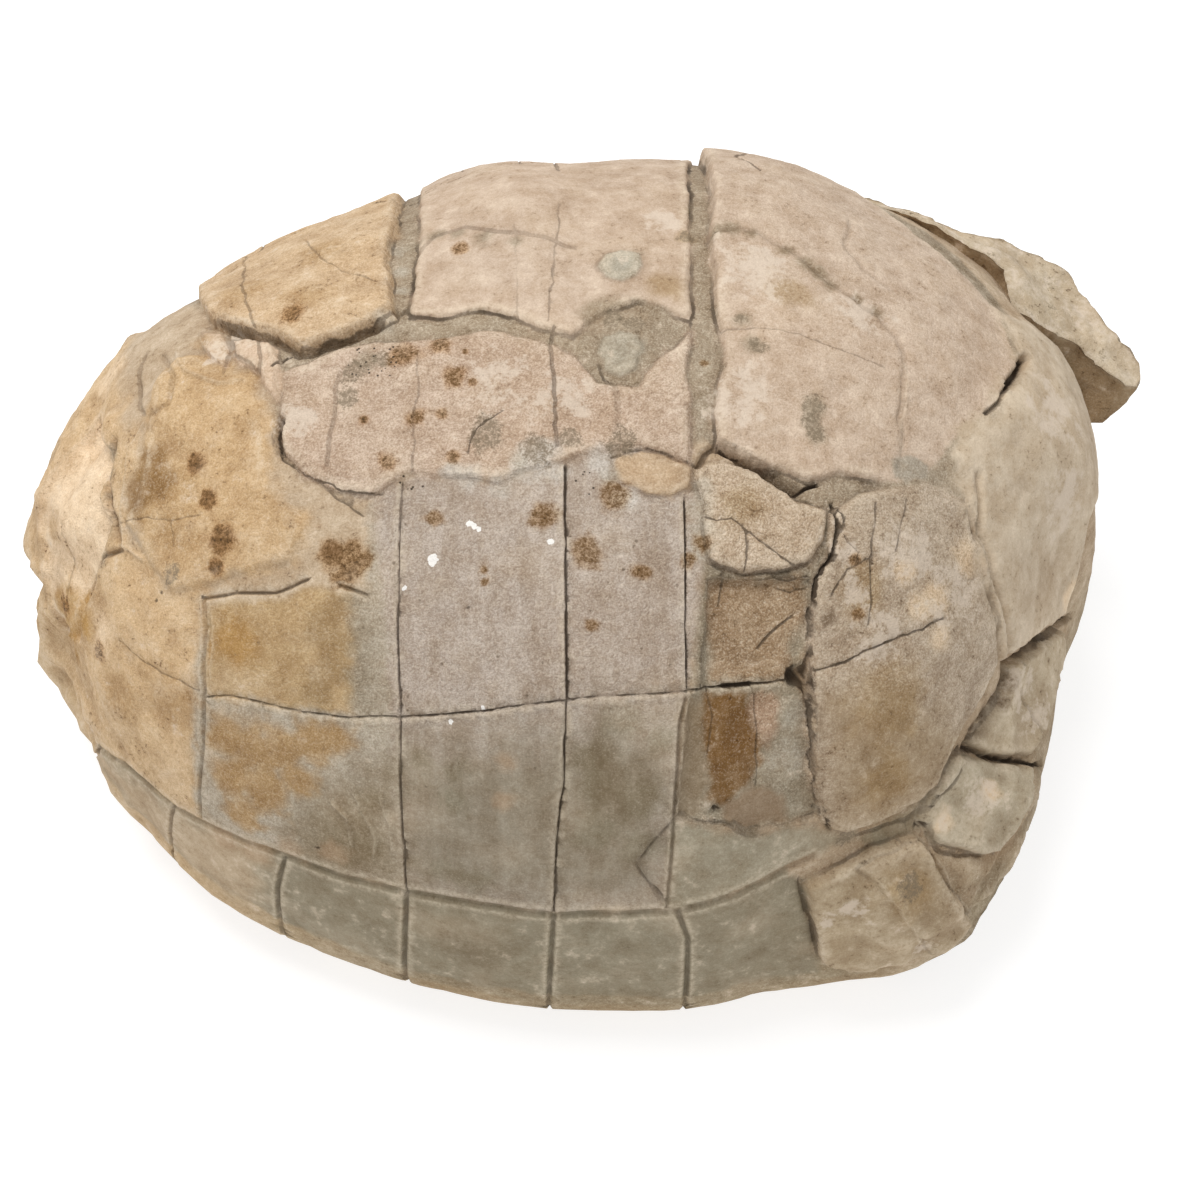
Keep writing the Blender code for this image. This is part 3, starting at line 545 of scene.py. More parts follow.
def line_distance(points, line, reach):
    """Distance to a line, worked out only near it; 1 elsewhere."""
    best = np.full(len(points), 1.0)
    for first in range(0, len(line) - 1, 10):
        part = line[first:first + 11]
        low, high = part.min(axis=0) - reach, part.max(axis=0) + reach
        near = np.flatnonzero(((points >= low) & (points <= high)).all(axis=1))
        if not len(near):
            continue
        here = points[near]
        close = best[near]
        for start, end in zip(part[:-1], part[1:]):
            run = end - start
            share = np.clip((here - start) @ run / max(run @ run, 1e-12), 0.0, 1.0)
            gap = here - start - share[:, None] * run
            close = np.minimum(close, np.sqrt((gap**2).sum(axis=1)))
        best[near] = close
    return best


def within(chart, loop):
    result = np.zeros(len(chart), bool)
    low, high = loop.min(axis=0), loop.max(axis=0)
    near = np.flatnonzero(((chart >= low) & (chart <= high)).all(axis=1))
    here = chart[near]
    flag = np.zeros(len(near), bool)
    for start, end in zip(loop, np.roll(loop, -1, axis=0)):
        if start[1] == end[1]:
            continue
        crosses = (start[1] > here[:, 1]) != (end[1] > here[:, 1])
        at = start[0] + (here[:, 1] - start[1]) * (end[0] - start[0]) / (end[1] - start[1])
        flag ^= crosses & (here[:, 0] < at)
    result[near] = flag
    return result


def inside_rim(chart, keep_ends=False):
    """Chart points moved in to the rim limit, but not those of a line that ends on the rim itself."""
    size = np.linalg.norm(chart, axis=1, keepdims=True)
    moved = chart * np.minimum(1.0, RIM_LIMIT / np.maximum(size, 1e-6))
    return np.where(keep_ends & (size > 0.99999), chart, moved)


def groove(directions, side, width, depth, lip, ink, ragged):
    spacing = LINE_SPACING if side > 0 else BELLY_LINE_SPACING
    chart = divided(inside_rim(to_chart(directions), True), side, spacing, False)
    if ragged:
        chart = inside_rim(jittered(chart, side, ragged * MM, 0.009, False), True)
    spots = []
    for share in (-1.7, -1.0, -0.5, 0.5, 1.0, 1.7):
        line = beside(chart, side, share * width * MM / 2.0, False)
        spots.append(line[np.linalg.norm(line, axis=1) < NEAR_RIM])
    return {"middle": chart, "closed": False, "beside": spots, "points": place(chart, side),
            "width": width * MM, "depth": depth * MM, "lip": lip * MM, "ink": ink}


def plate(name, directions, side, rise, edge, ink, spacing=None, ragged=1.0):
    spacing = spacing or (LINE_SPACING if side > 0 else BELLY_LINE_SPACING)
    chart = divided(inside_rim(to_chart(directions)), side, spacing, True)
    chart = inside_rim(jittered(chart, side, ragged * MM, 0.011, True))
    spots = []
    for share in (-0.4, 0.35, 0.7, 1.05, 1.8):
        line = beside(chart, side, share * area_sign(chart) * edge * MM, True)
        spots.append(line[np.linalg.norm(line, axis=1) < NEAR_RIM])
    return {"name": name, "middle": chart, "closed": True, "beside": spots, "ink": ink,
            "points": place(looped(chart), side), "rise": rise * MM, "edge": edge * MM}


def to_rim(directions):
    line = directions.copy()
    line[-1, 2] = 0.0
    line[-1] = unit(line[-1])
    return line


def rim_joints():
    joints = [to_rim(from_view(trace)) for (trace,) in NEAR_RIM_JOINTS]
    for degrees in FAR_RIM_JOINTS:
        angle = np.radians(np.array([degrees, degrees + 0.8, degrees]))
        start = np.interp(degrees, FAR_RING[::-1, 0], FAR_RING[::-1, 1])
        joints.append(to_rim(from_polar(angle, np.array([start, RIM_LIMIT, 1.0]), 1)))
    return joints


def traced(rise, trace, plan=()):
    sides = [from_view(trace, min(max(rise, 0.0), 3.5) * MM)] if len(trace) else []
    if len(plan):
        sides.append(from_plan(plan, 1))
    return np.vstack(sides)


def upper_features():
    lines = [groove(from_view(trace), 1, width, depth, lip, ink, 0.25 if lip else 0.9)
             for width, depth, lip, ink, trace in NEAR_LINES]
    lines += [groove(from_view(trace), 1, width, depth, 0.0, ink, 1.2)
              for width, depth, ink, trace in NEAR_CRACKS]
    lines += [groove(from_plan(plan, 1), 1, width, depth, 0.0, 0.5, ragged)
              for width, depth, ragged, plan in FAR_LINES]
    ring = from_polar(np.radians(FAR_RING[:, 0]), FAR_RING[:, 1], 1)
    lines.append(groove(ring, 1, 2.6, 1.6, 0.3, 0.3, 0.4))
    lines += [groove(joint, 1, RIM_JOINT_WIDTH, RIM_JOINT_DEPTH, 0.15, 0.3, 0.0) for joint in rim_joints()]
    plates = [plate(name, traced(rise, *shape), 1, rise, edge, ink)
              for name, rise, edge, ink, *shape in PLATES]
    return lines, plates


def lower_features():
    lines = [groove(from_plan(plan, -1), -1, width, depth, 0.0, 0.5, 0.8)
             for width, depth, plan in BELLY_LINES]
    for joint in rim_joints():
        angle = math.atan2(joint[-1, 1], joint[-1, 0])
        radius = float(around(1, math.degrees(angle)))
        spread = np.array([1.0, 1.0 - 0.25 * RIM_JOINT_BELOW / radius, 1.0 - 0.75 * RIM_JOINT_BELOW / radius])
        directions = from_polar(np.full(3, angle), spread, -1)
        lines.append(groove(directions, -1, RIM_JOINT_WIDTH, RIM_JOINT_DEPTH, 0.0, 0.4, 0.0))
    plates = [plate(name, from_plan(plan, -1), -1, rise, edge, 0.3)
              for name, rise, edge, plan in BELLY_PLATES]
    return lines, plates


def waves(points, length):
    return np.array([noise.noise(Vector(p) / length) for p in points])


def in_view(spots):
    return place(to_chart(from_view(spots[:, :2])), 1)


def dented(points):
    """How far the broad dents lower each point."""
    total = np.zeros(len(points))
    for centre, radius, depth in zip(in_view(DENTS), DENTS[:, 2] * MM, DENTS[:, 3] * MM):
        total += depth * np.exp(-((points - centre) ** 2).sum(axis=1) / radius**2)
    return total


def signed_gap(chart, points, item, reach):
    """Distance to a closed line, below zero outside it."""
    gap = line_distance(points, item["points"], reach)
    return np.where(within(chart, item["middle"]), gap, -gap)


def low_share(points):
    """1 low down, falling to 0 at the top of the left end."""
    return smooth((LEFT_TOP - points[:, 2]) / LEFT_FADE)


def broken_share(points, chart):
    """How crumbled the shell is: most at the left end, some at the lower right and the far right."""
    degrees = np.mod(heading(points), 360.0)
    share = smooth(1.0 - np.abs(degrees - LEFT_END[0]) / LEFT_END[1]) * low_share(points)
    for middle, reach, amount in OTHER_ENDS:
        share = np.maximum(share, amount * smooth(1.0 - np.abs(degrees - middle) / reach))
    return share * smooth(np.linalg.norm(chart, axis=1) * 2.0 - 1.0)


def fine_relief(points, rough, broken):
    """Small lumps, ridges and flakes of the stone, with painted shade in their hollows and a painted
    highlight on their tops.
    """
    ridged = np.abs(waves(points + 0.5, 0.017))
    small = waves(points + 0.1, 0.0065)
    flakes = smooth((waves(points + 0.25, 0.010) + 0.5 * small - 0.22) / 0.12)
    height = 0.0003 * waves(points + 0.7, 0.014) + (0.00012 + 0.0003 * rough) * small
    height += rough * (0.0011 * (0.22 - ridged) - 0.00045 * flakes)
    folds = np.abs(waves(points + 0.95, 0.030))
    lumps = 0.0030 * waves(points + 0.6, 0.011)
    height += broken * (0.0075 * (0.18 - ridged) + 0.0130 * (0.15 - folds) + lumps)
    height += (broken + 0.35 * rough) * 0.0009 * waves(points + 0.8, 0.0042)
    # Painted shade, darker the deeper a hollow or flake lies; the last value is a painted highlight, lighter
    # the higher a lump stands
    shade = np.clip(-height / 0.0030, 0.0, 0.30) + 0.12 * rough * flakes
    return height, shade, np.clip(height / 0.0012, 0.0, 0.5)


def relief(chart, points, side, features, pits, rough):
    """Height above the smooth shell, with the fields that colour it."""
    lines, plates = features
    broken = broken_share(points, chart)
    level = smooth(points[:, 2] / 0.02)
    fine, shade, wear_and_highlight = fine_relief(points, rough, broken)
    left = broken * (points[:, 0] < 0.0)
    worn_end = WORN_END_HEIGHT * waves(points + 0.3, WORN_END_LENGTH) * left
    height = WAVE_HEIGHT * waves(points, WAVE_LENGTH) + worn_end
    height = (height + fine - dented(points)) * level
    cut = np.zeros(len(points))
    line = np.zeros(len(points))
    ink = np.zeros(len(points))
    ragged = 0.0006 * waves(points + 0.9, 0.005)
    patchy = 0.5 + 0.9 * waves(points + 0.35, 0.014)
    repaired = np.zeros(len(points))
    if side > 0:
        loop = to_chart(from_view(REPAIR))
        gap = signed_gap(chart, points, {"middle": loop, "points": place(looped(loop), 1)}, 0.012)
        repaired = smooth(0.5 + gap / REPAIR_SOFTNESS)
    for item in plates:
        gap = signed_gap(chart, points, item, item["edge"] + 0.010)
        inside = gap > 0.0
        share = np.clip((gap + ragged * (gap > 0.0002)) / item["edge"], 0.0, 1.0)
        share = np.where(inside, 1.0 - (1.0 - share) ** 1.6, 0.0)
        share += repaired * (smooth(0.5 + 0.5 * gap / REPAIR_SOFTNESS) - share)
        rise = item["rise"]
        if item["name"] == "far_block":
            rise = rise * (BLOCK_FRONT + (1.0 - BLOCK_FRONT) * smooth(points[:, 1] / BLOCK_SLOPE))
            rise = rise * (1.0 - 0.7 * smooth((points[:, 0] - BLOCK_LOW_FROM) / BLOCK_LOW_OVER))
        height += rise * share
        # Dark line at the foot of each plate's edge: partly dirt in the crevice, partly painted shade
        foot = np.clip(1.6 - np.abs(gap + 0.0002) / FOOT_WIDTH, 0.0, 1.0)
        stronger = foot > line
        line = np.maximum(line, foot)
        foot_dark_and_shade = item["ink"] * np.clip(patchy * 2.2 - 0.4, 0.0, 1.5) * (1.0 - repaired)
        ink = np.where(stronger, foot_dark_and_shade, ink)
        # Painted shade in a band along the foot of each plate's edge
        edge_shade = np.clip(1.0 - np.abs(gap + 0.0008) / EDGE_SHADE_WIDTH, 0.0, 1.0)
        edge_shade *= min(0.35, 0.1 + item["ink"])
        shade = np.maximum(shade, edge_shade * (1.0 - repaired))
        if item["rise"] > 0.0:
            # Lighter crest along the top of each raised plate's edge: partly worn edge, partly painted
            # highlight
            crest = np.exp(-((gap - 1.3 * item["edge"]) / CREST_WIDTH) ** 2)
            wear_and_highlight = np.maximum(wear_and_highlight, inside * crest * np.clip(patchy, 0.0, 1.0) * (1.0 - repaired))
    for item in lines:
        half = item["width"] / 2.0
        near = line_distance(points, item["points"], half * 3.5 + 0.001) / half
        if item["depth"] > 0.0008 and not item["lip"]:
            near = near * (1.0 + min(0.45, 0.9 * MM / item["width"]) * waves(points + 0.15, 0.006))
        power = 2.4 if item["width"] > 0.0028 and item["ink"] > 0.45 else 1.3
        profile = item["depth"] * np.clip(1.0 - near**power, 0.0, 1.0)
        if item["depth"] < 0.0:
            height -= profile
            # Painted highlight along a ridge
            wear_and_highlight = np.maximum(wear_and_highlight, 0.5 * np.clip(1.0 - near, 0.0, 1.0))
            continue
        cut = np.maximum(cut, profile)
        height += item["lip"] * np.exp(-((near - 1.75) / 0.5) ** 2)
        # Painted highlight on the lip beside a line
        wear_and_highlight = np.maximum(wear_and_highlight, (item["lip"] > 0.0) * 0.8 * np.exp(-((near - 1.8) / 0.45) ** 2))
        # Dark core of each line: partly dirt in the crack, partly painted shadow in deep gaps
        core = np.clip(1.6 - near * max(1.0, half / 0.0011), 0.0, 1.0)
        stronger = core > line
        line = np.maximum(line, core)
        ink = np.where(stronger, item["ink"] * np.clip(0.6 + patchy, 0.6, 1.2), ink)
        # Painted shade in and beside wide grooves
        shade = np.maximum(shade, min(item["ink"], 0.6) * np.clip(1.5 - near, 0.0, 1.0) * (half > 0.0012))
    for centre, radius, depth in (pits if side > 0 else ()):
        near = np.linalg.norm(points - centre, axis=1) / radius
        cut = np.maximum(cut, depth * np.clip(1.0 - near**2, 0.0, 1.0))
        # Dark pit: partly dirt, partly painted shadow in the hole
        core = np.clip(1.6 - near, 0.0, 1.0)
        ink = np.where(core > line, 0.9, ink)
        line = np.maximum(line, core)
    return height - cut, {"line": line, "ink": np.clip(ink, 0.0, 1.0), "shade": shade, "wear_and_highlight": wear_and_highlight}


def even_points(side, spacing):
    levels = np.linspace(0.0, 1.0, 161)
    turns = np.linspace(0.0, 2.0 * math.pi, 241)
    disc = np.stack([np.outer(levels, np.cos(turns)), np.outer(levels, np.sin(turns))], axis=-1)
    points = place(disc.reshape(-1, 2), side).reshape(len(levels), len(turns), 3)
    climb = np.linalg.norm(np.diff(points, axis=0), axis=2).mean(axis=1)
    climb = np.concatenate([[0.0], np.cumsum(climb)])
    rings = round(climb[-1] / (spacing * 0.9))
    chart = [np.zeros((1, 2))]
    for ring in range(1, rings):
        level = float(np.interp(climb[-1] * ring / rings, climb, levels))
        loop = place(level * np.column_stack([np.cos(turns), np.sin(turns)]), side)
        length = np.concatenate([[0.0], np.cumsum(np.linalg.norm(np.diff(loop, axis=0), axis=1))])
        count = max(6, round(length[-1] / spacing))
        share = (np.arange(count) + 0.618 * ring % 1.0) / count % 1.0
        turn = np.interp(share * length[-1], length, turns)
        chart.append(level * np.column_stack([np.cos(turn), np.sin(turn)]))
    return np.vstack(chart)


def rim_points(features):
    line_points = np.vstack([item["middle"] for item in features[0]])
    special = np.array(sorted(math.atan2(p[1], p[0]) for p in line_points if np.hypot(*p) > 0.9999))
    count = round(RIM_LENGTH / RIM_SPACING)
    regular = np.linspace(-math.pi, math.pi, count, endpoint=False)
    gap = np.abs(regular[:, None] - special[None, :]).min(axis=1)
    angles = np.sort(np.concatenate([regular[gap > 0.6 * 2.0 * math.pi / count], special]))
    return np.column_stack([np.cos(angles), np.sin(angles)])


def thinned(spots, side, size):
    """The first point in each small cell."""
    cells = np.floor(place(spots, side) / size).astype(np.int64)
    keep = np.unique(cells, axis=0, return_index=True)[1]
    return spots[np.sort(keep)]


def far_from(free, taken, side, gap):
    tree = kdtree.KDTree(len(taken))
    for i, p in enumerate(place(taken, side)):
        tree.insert(p, i)
    tree.balance()
    distance = np.array([tree.find(p)[2] for p in place(free, side)])
    return free[distance > gap]


def half_shell(side, spacing, features, rim, rim_features, pits, dense):
    lines, plates = features
    chart = [rim]
    edges = [(i, (i + 1) % len(rim)) for i in range(len(rim))]
    total = len(rim)
    spots = []
    for item in lines + plates:
        line = item["middle"]
        chart.append(line)
        count = len(line) if item["closed"] else len(line) - 1
        edges += [(total + i, total + (i + 1) % len(line)) for i in range(count)]
        total += len(line)
        spots += item["beside"]
    fixed = np.vstack(chart)
    extra = thinned(np.vstack(spots + dense), side, CELL)
    extra = far_from(extra, fixed, side, LINE_GAP)
    taken = np.vstack([fixed, extra])
    free = far_from(even_points(side, spacing), taken, side, 0.55 * spacing)
    result = delaunay_2d_cdt([Vector(p) for p in np.vstack([taken, free])], edges, [], 0, CHART_MERGE)
    chart = np.array([tuple(v) for v in result[0]])
    rim_ids = np.array([min(ids) if ids and min(ids) < len(rim) else -1 for ids in result[3]])
    on_rim = rim_ids >= 0
    chart[on_rim] = rim[rim_ids[on_rim]]
    points = place(chart, side)
    paint = (upper_paint if side > 0 else lower_paint)(points, chart, features)
    height, form = relief(chart, points, side, features, pits, paint["rough"])
    if side < 0:
        rough = upper_paint(points[on_rim], chart[on_rim], rim_features)["rough"]
        height[on_rim] = relief(chart[on_rim], points[on_rim], 1, rim_features, pits, rough)[0]
    normal = outward(chart, side)
    normal[on_rim] = outward(chart[on_rim], 1)
    real = points + normal * height[:, None]
    real[:, 2] = np.maximum(real[:, 2], 0.0)
    # The painted shade darkens the tone
    tone = paint["tone"] * (1.0 - form["shade"][:, None] * SHADE)
    colours = {"tone": np.column_stack([tone, paint["rough"]]), "marks": paint["marks"],
               "form": np.column_stack([form["line"], form["wear_and_highlight"], paint["putty"], paint["chalk"]]),
               "extra": np.column_stack([form["ink"], paint["pin"], paint["crisp"], paint["crisp"]])}
    return {"real": real, "colours": colours, "faces": result[2], "rim": rim_ids}


# Colours
def linear(r, g, b):
    values = np.array([r, g, b], float) / 255.0
    return np.where(values <= 0.04045, values / 12.92, ((values + 0.055) / 1.055) ** 2.4)


# Zones: name, edge softness in millimetres, roughness, strength of the finest grain and colour, then trace
# and plan points. A zone without points takes the outline of the plate of its name.
ZONES = table("""
left_end 14 1 0.6 219,190,150 | 20,480 60,680 100,750 200,815 206,597 170,590 120,517 143,443 135,335 60,400
upper_seams 3 0.5 0.8 173,159,138 | 282,371 279,420 281,448 306,473 367,494 410,470 500,480 560,460 640,445
 721,446 796,502 832,522 870,502 925,494 972,506 985,470 1023,365 1004,312 924,234 857,192 | 108,138 50,150
 -74,141 -138,104 -150,75
putty_top 6 0.12 0.8 189,176,164 | 372,494 410,470 500,480 560,460 640,445 695,467 705,560 688,700 680,800
 664,910 551,914 404,892 385,800 378,600
putty_low 40 0.15 0.35 157,147,129 | 380,740 530,730 690,720 680,800 664,910 551,914 404,892 385,850
left_under 3 0.25 0.75 188,178,161 | 214,601 367,591 372,494 385,600 392,715 398,885 335,874 236,836 199,814
ochre_panel 3.5 0.35 0.6 194,167,126 | 206,600 281,594 306,583 350,590 356,640 352,712 303,708 207,692
under_grey 26 0.2 0.5 147,133,108 | 300,800 398,760 398,885 335,874 290,855
ring 3 0.3 0.15 149,140,119 | 96,737 121,759 169,801 236,836 335,874 402,890 503,908 553,916 614,916 675,911
 737,893 783,872 806,890 812,930 822,1000 690,1010 545,1002 401,975 277,925 171,852 98,765
ring_left 20 0.4 0.3 192,172,144 | 96,737 169,801 262,848 258,920 171,852 98,765
below_recess 4 0.4 0.3 162,153,132 | 672,822 747,837 814,826 845,842 783,872 737,893 675,911 664,905
recess_grey 3 0.6 0.75 162,152,132 | 695,467 830,512 831,554 814,579 811,645 798,672 812,733 822,822 747,835
 674,818 688,700 705,560
recess_bone 4 0.8 1 174,149,119 | 709,582 807,578 808,618 793,648 790,684 712,686
brown_patch 2.5 1 0.6 132,99,57 | 706,696 750,694 756,728 768,762 752,786 726,810 704,808 712,785 702,740
pink_patch 2.5 1 0.9 190,164,140 | 750,696 781,698 780,730 770,756 757,730
pink_low 2 0.3 0.3 156,136,112 | 724,812 752,790 784,800 786,826 748,832 722,824
recess_left 3 0.3 0.4 152,136,112 | 680,700 703,700 700,740 711,785 702,818 674,818 678,770
lens 1.5 0.2 0.2 158,150,128 | 856,843 888,820 919,801 945,779 957,760 955,778 940,796 924,812 920,826
 906,840 877,852
far_block 2 0.55 0.55 205,185,165
pink_mid 2 0.45 0.9 203,181,161
pink_far 2 0.45 0.4 202,182,162
ochre_block 2 0.85 0.7 211,183,147
left_mid 6 0.8 0.65 207,177,136
brown_top 2 0.6 1.1 204,184,160
right_big 2 0.75 0.9 194,177,156
right_low 26 0.7 0.45 170,150,122 | 820,705 905,690 960,745 937,789 916,807 881,828 845,838 824,831
right_edge 9 0.6 0.2 207,191,168
rim_a 2 0.75 0.3 198,184,160
rim_b 2 0.75 0.25 186,175,153
rim_c 2 0.8 0.3 179,161,133
left_hollow 6 1 0.6 244,220,188
boss_a 1.5 0.3 0.6 180,174,158
boss_b 1.5 0.3 0.6 171,163,146
grey_piece 1.5 0.4 0.6 172,162,146
tan_piece 1.5 0.4 0.6 196,170,139
pale_a 1.5 0.4 0.6 214,190,164
pale_b 1.5 0.4 0.6 214,190,166
mortar_pit 5 1 0.6 172,156,134
""")

FAR_TOP_TONE = linear(196, 176, 150)
FAR_LOW_TONE = linear(160, 146, 120)
FAR_BROWN_TONE = linear(176, 150, 118)
BELLY_TONE = linear(178, 160, 132)
LEFT_TONE = linear(210, 184, 146)
BELLY_BROWN_TONE = linear(178, 148, 106)
POCKET_TONE = linear(142, 128, 104)
PALE_TONE = linear(226, 206, 180)
FAR_PATCH_TONE = linear(184, 150, 104)
SLAB_TOP_TONE = linear(204, 190, 167)
SLAB_SIDE_BROWN_AND_SHADE_TONE = linear(158, 136, 106)

# Stains: trace and radius in view points
RUST = numbers("""
200,461,8 213,495,8 227,536,13 220,564,7 338,552,13 352,549,10 354,562,12 366,558,8 346,573,9 100,647,9
464,254,8 406,356,12 444,346,8 457,379,10 469,354,3 475,384,4 419,417,7 444,415,5 455,457,7 390,462,7
367,420,4 543,512,10 435,517,7 484,569,3 485,581,3 643,572,7 585,552,12 590,625,4 300,320,11 60,600,9
853,562,5 855,617,5 706,366,4 615,496,12 704,545,6 688,560,6
""")
GREY = numbers("""
488,436,15 539,452,14 624,444,13 573,440,11 811,410,9 808,424,7 814,436,9 756,350,7 764,354,6 742,326,6
360,372,12 385,360,9 352,398,10 843,840,9 614,320,10 634,324,9 688,242,7 176,569,9 902,884,12
""")
WHITE = numbers("""
470,522,3 475,525,3 480,528,2.5 433,557,4 433,562,3 405,586,2.5 551,541,3 450,720,2.5 483,706,2.5
""")
CHALK = numbers("""
900,560,30 940,600,34 870,640,26 1060,500,30 1050,420,34 1010,690,26 1030,720,22 853,903,14 823,913,10
919,940,12 970,800,22 560,400,26 500,380,30 664,226,18 760,280,34 740,400,30 860,320,26 230,345,22
300,420,20 840,545,18 850,590,16 935,823,9 980,793,9
""")
# Soft patches of another colour: strength, colour, then trace and radius in view points. The brown row along
# the far block's arc ends in painted shade down the gap between the far block and the slab, and the dark
# brown row at the lower right is partly the brown of the valley and cracks there, partly painted shade in
# them.
PATCHES = table("""
0.75 182,142,80 226,735,22 250,745,24 280,745,22 310,740,20 335,735,15 230,775,22 262,785,24 295,775,18
 240,810,16 235,640,18
0.5 138,131,108 590,760,14 600,790,16 596,830,18 634,800,20 640,850,16 450,800,12 452,770,10 440,870,12
 470,880,14 620,720,16 660,740,11 420,760,9
0.5 190,162,132 222,838,13 252,850,12 286,846,10 330,850,12 500,800,9 505,760,8
0.6 130,116,92 480,950,26 450,940,18 620,790,30 600,760,22
0.76 244,220,188 72,560,30 60,500,24 80,430,22 110,372,20 90,540,16 100,620,18 935,823,10 980,793,9
 928,600,14 960,560,12 1064,600,14 915,610,12 900,575,10 935,640,10
0.5 182,162,136 1045,590,20 1020,604,14 1060,560,14
0.7 150,138,118 109,448,6 104,468,6 108,490,5 100,556,6 90,580,5
0.75 138,121,94 718,245,6 734,243,7 752,247,6 786,262,7 806,274,8 818,282,8 832,292,7 858,304,6 876,316,6
 940,250,9 960,268,10 980,288,10 996,306,9
0.5 142,116,78 336,640,16 333,612,15 335,666,16 318,690,14 318,625,14
0.6 150,138,116 360,600,12 361,625,12 360,650,12 360,675,12 361,700,12 372,362,10 420,248,9 442,240,9
 462,238,8 490,242,8 520,246,7 812,410,9 810,424,7 814,438,9 752,352,9 744,326,7 843,838,10
0.85 208,203,196 537,462,15 549,450,11 470,478,10 454,470,8 600,462,11 560,472,9 520,470,9 628,500,9
 500,486,8
0.6 196,192,180 403,252,7 403,272,8 404,290,7 390,322,9 522,460,8 612,476,8 702,492,9 702,510,10 701,530,10
 701,552,9 790,760,14 796,720,10
0.65 184,150,104 157,470,16 155,490,17 146,512,12 182,528,22 180,484,18 250,300,22 312,303,18 92,600,20
 120,690,26 170,700,30 330,262,20 205,340,10 50,520,16
0.8 184,138,50 72,614,26 66,632,22 86,620,16 56,600,16 82,600,10
0.75 146,110,60 160,464,17 150,482,18 168,476,13 138,498,11
0.6 128,94,52 227,536,13 200,461,7 213,495,6 219,563,6 336,548,7
0.6 166,138,94 740,510,16 790,300,16 860,590,20 878,700,34 669,291,14 902,888,20 688,242,7 880,780,24
0.75 112,90,64 1004,686,7 994,702,8 983,718,8 972,736,8 831,562,6 825,620,6
""")
PIN = numbers("376,362,20 394,366,10 412,480,9 590,480,14")
FAR_RUST = numbers("-118,92,4 -30,126,3.5 22,150,3 84,132,4.5 -92,120,3 120,110,3.5")
FAR_PATCHES = numbers("-60,132,18 10,140,14 70,148,16 -130,104,15 140,96,14")


def spot_field(points, centres, sizes, bend):
    """1 in the middle of each spot, falling off to 0 at an uneven edge."""
    field = np.zeros(len(points))
    for centre, size in zip(centres, sizes):
        near = np.linalg.norm(points - centre, axis=1) / size * (1.0 + bend)
        field = np.maximum(field, np.clip(1.6 - near, 0.0, 1.0))
    return field


def view_spots(spots):
    return in_view(spots), spots[:, 2] * VIEW_POINT


def plan_spots(spots):
    return place(to_chart(from_plan(spots[:, :2], 1)), 1), spots[:, 2] * MM


def near_share(chart):
    """1 on the side that the view shows, falling to 0 on the far side."""
    facing = -(outward(chart, 1) @ FORWARD)
    return smooth((facing + 0.05) / 0.15)


def mottled(tone, points, amount=0.55):
    """Broad and middle-sized changes of colour, the same on every side."""
    warm = smooth(0.5 + 0.9 * waves(points + 0.2, 0.050))[:, None]
    dull = smooth(0.45 + 1.3 * waves(points + 0.45, 0.013))[:, None]
    pale = smooth(1.6 * waves(points + 0.55, 0.021) - 0.15)[:, None]
    tone = tone * (1.0 - amount * warm * (0.01, 0.05, 0.10)) * (1.0 - amount * dull * (0.10, 0.12, 0.14))
    return tone + (PALE_TONE - tone) * 0.30 * amount * pale


def left_share(points):
    """How much of the left end's colour shows."""
    turn = np.abs(np.mod(heading(points), 360.0) - LEFT_COLOUR[0])
    return (smooth(1.5 - turn / LEFT_COLOUR[1]) * low_share(points))[:, None]


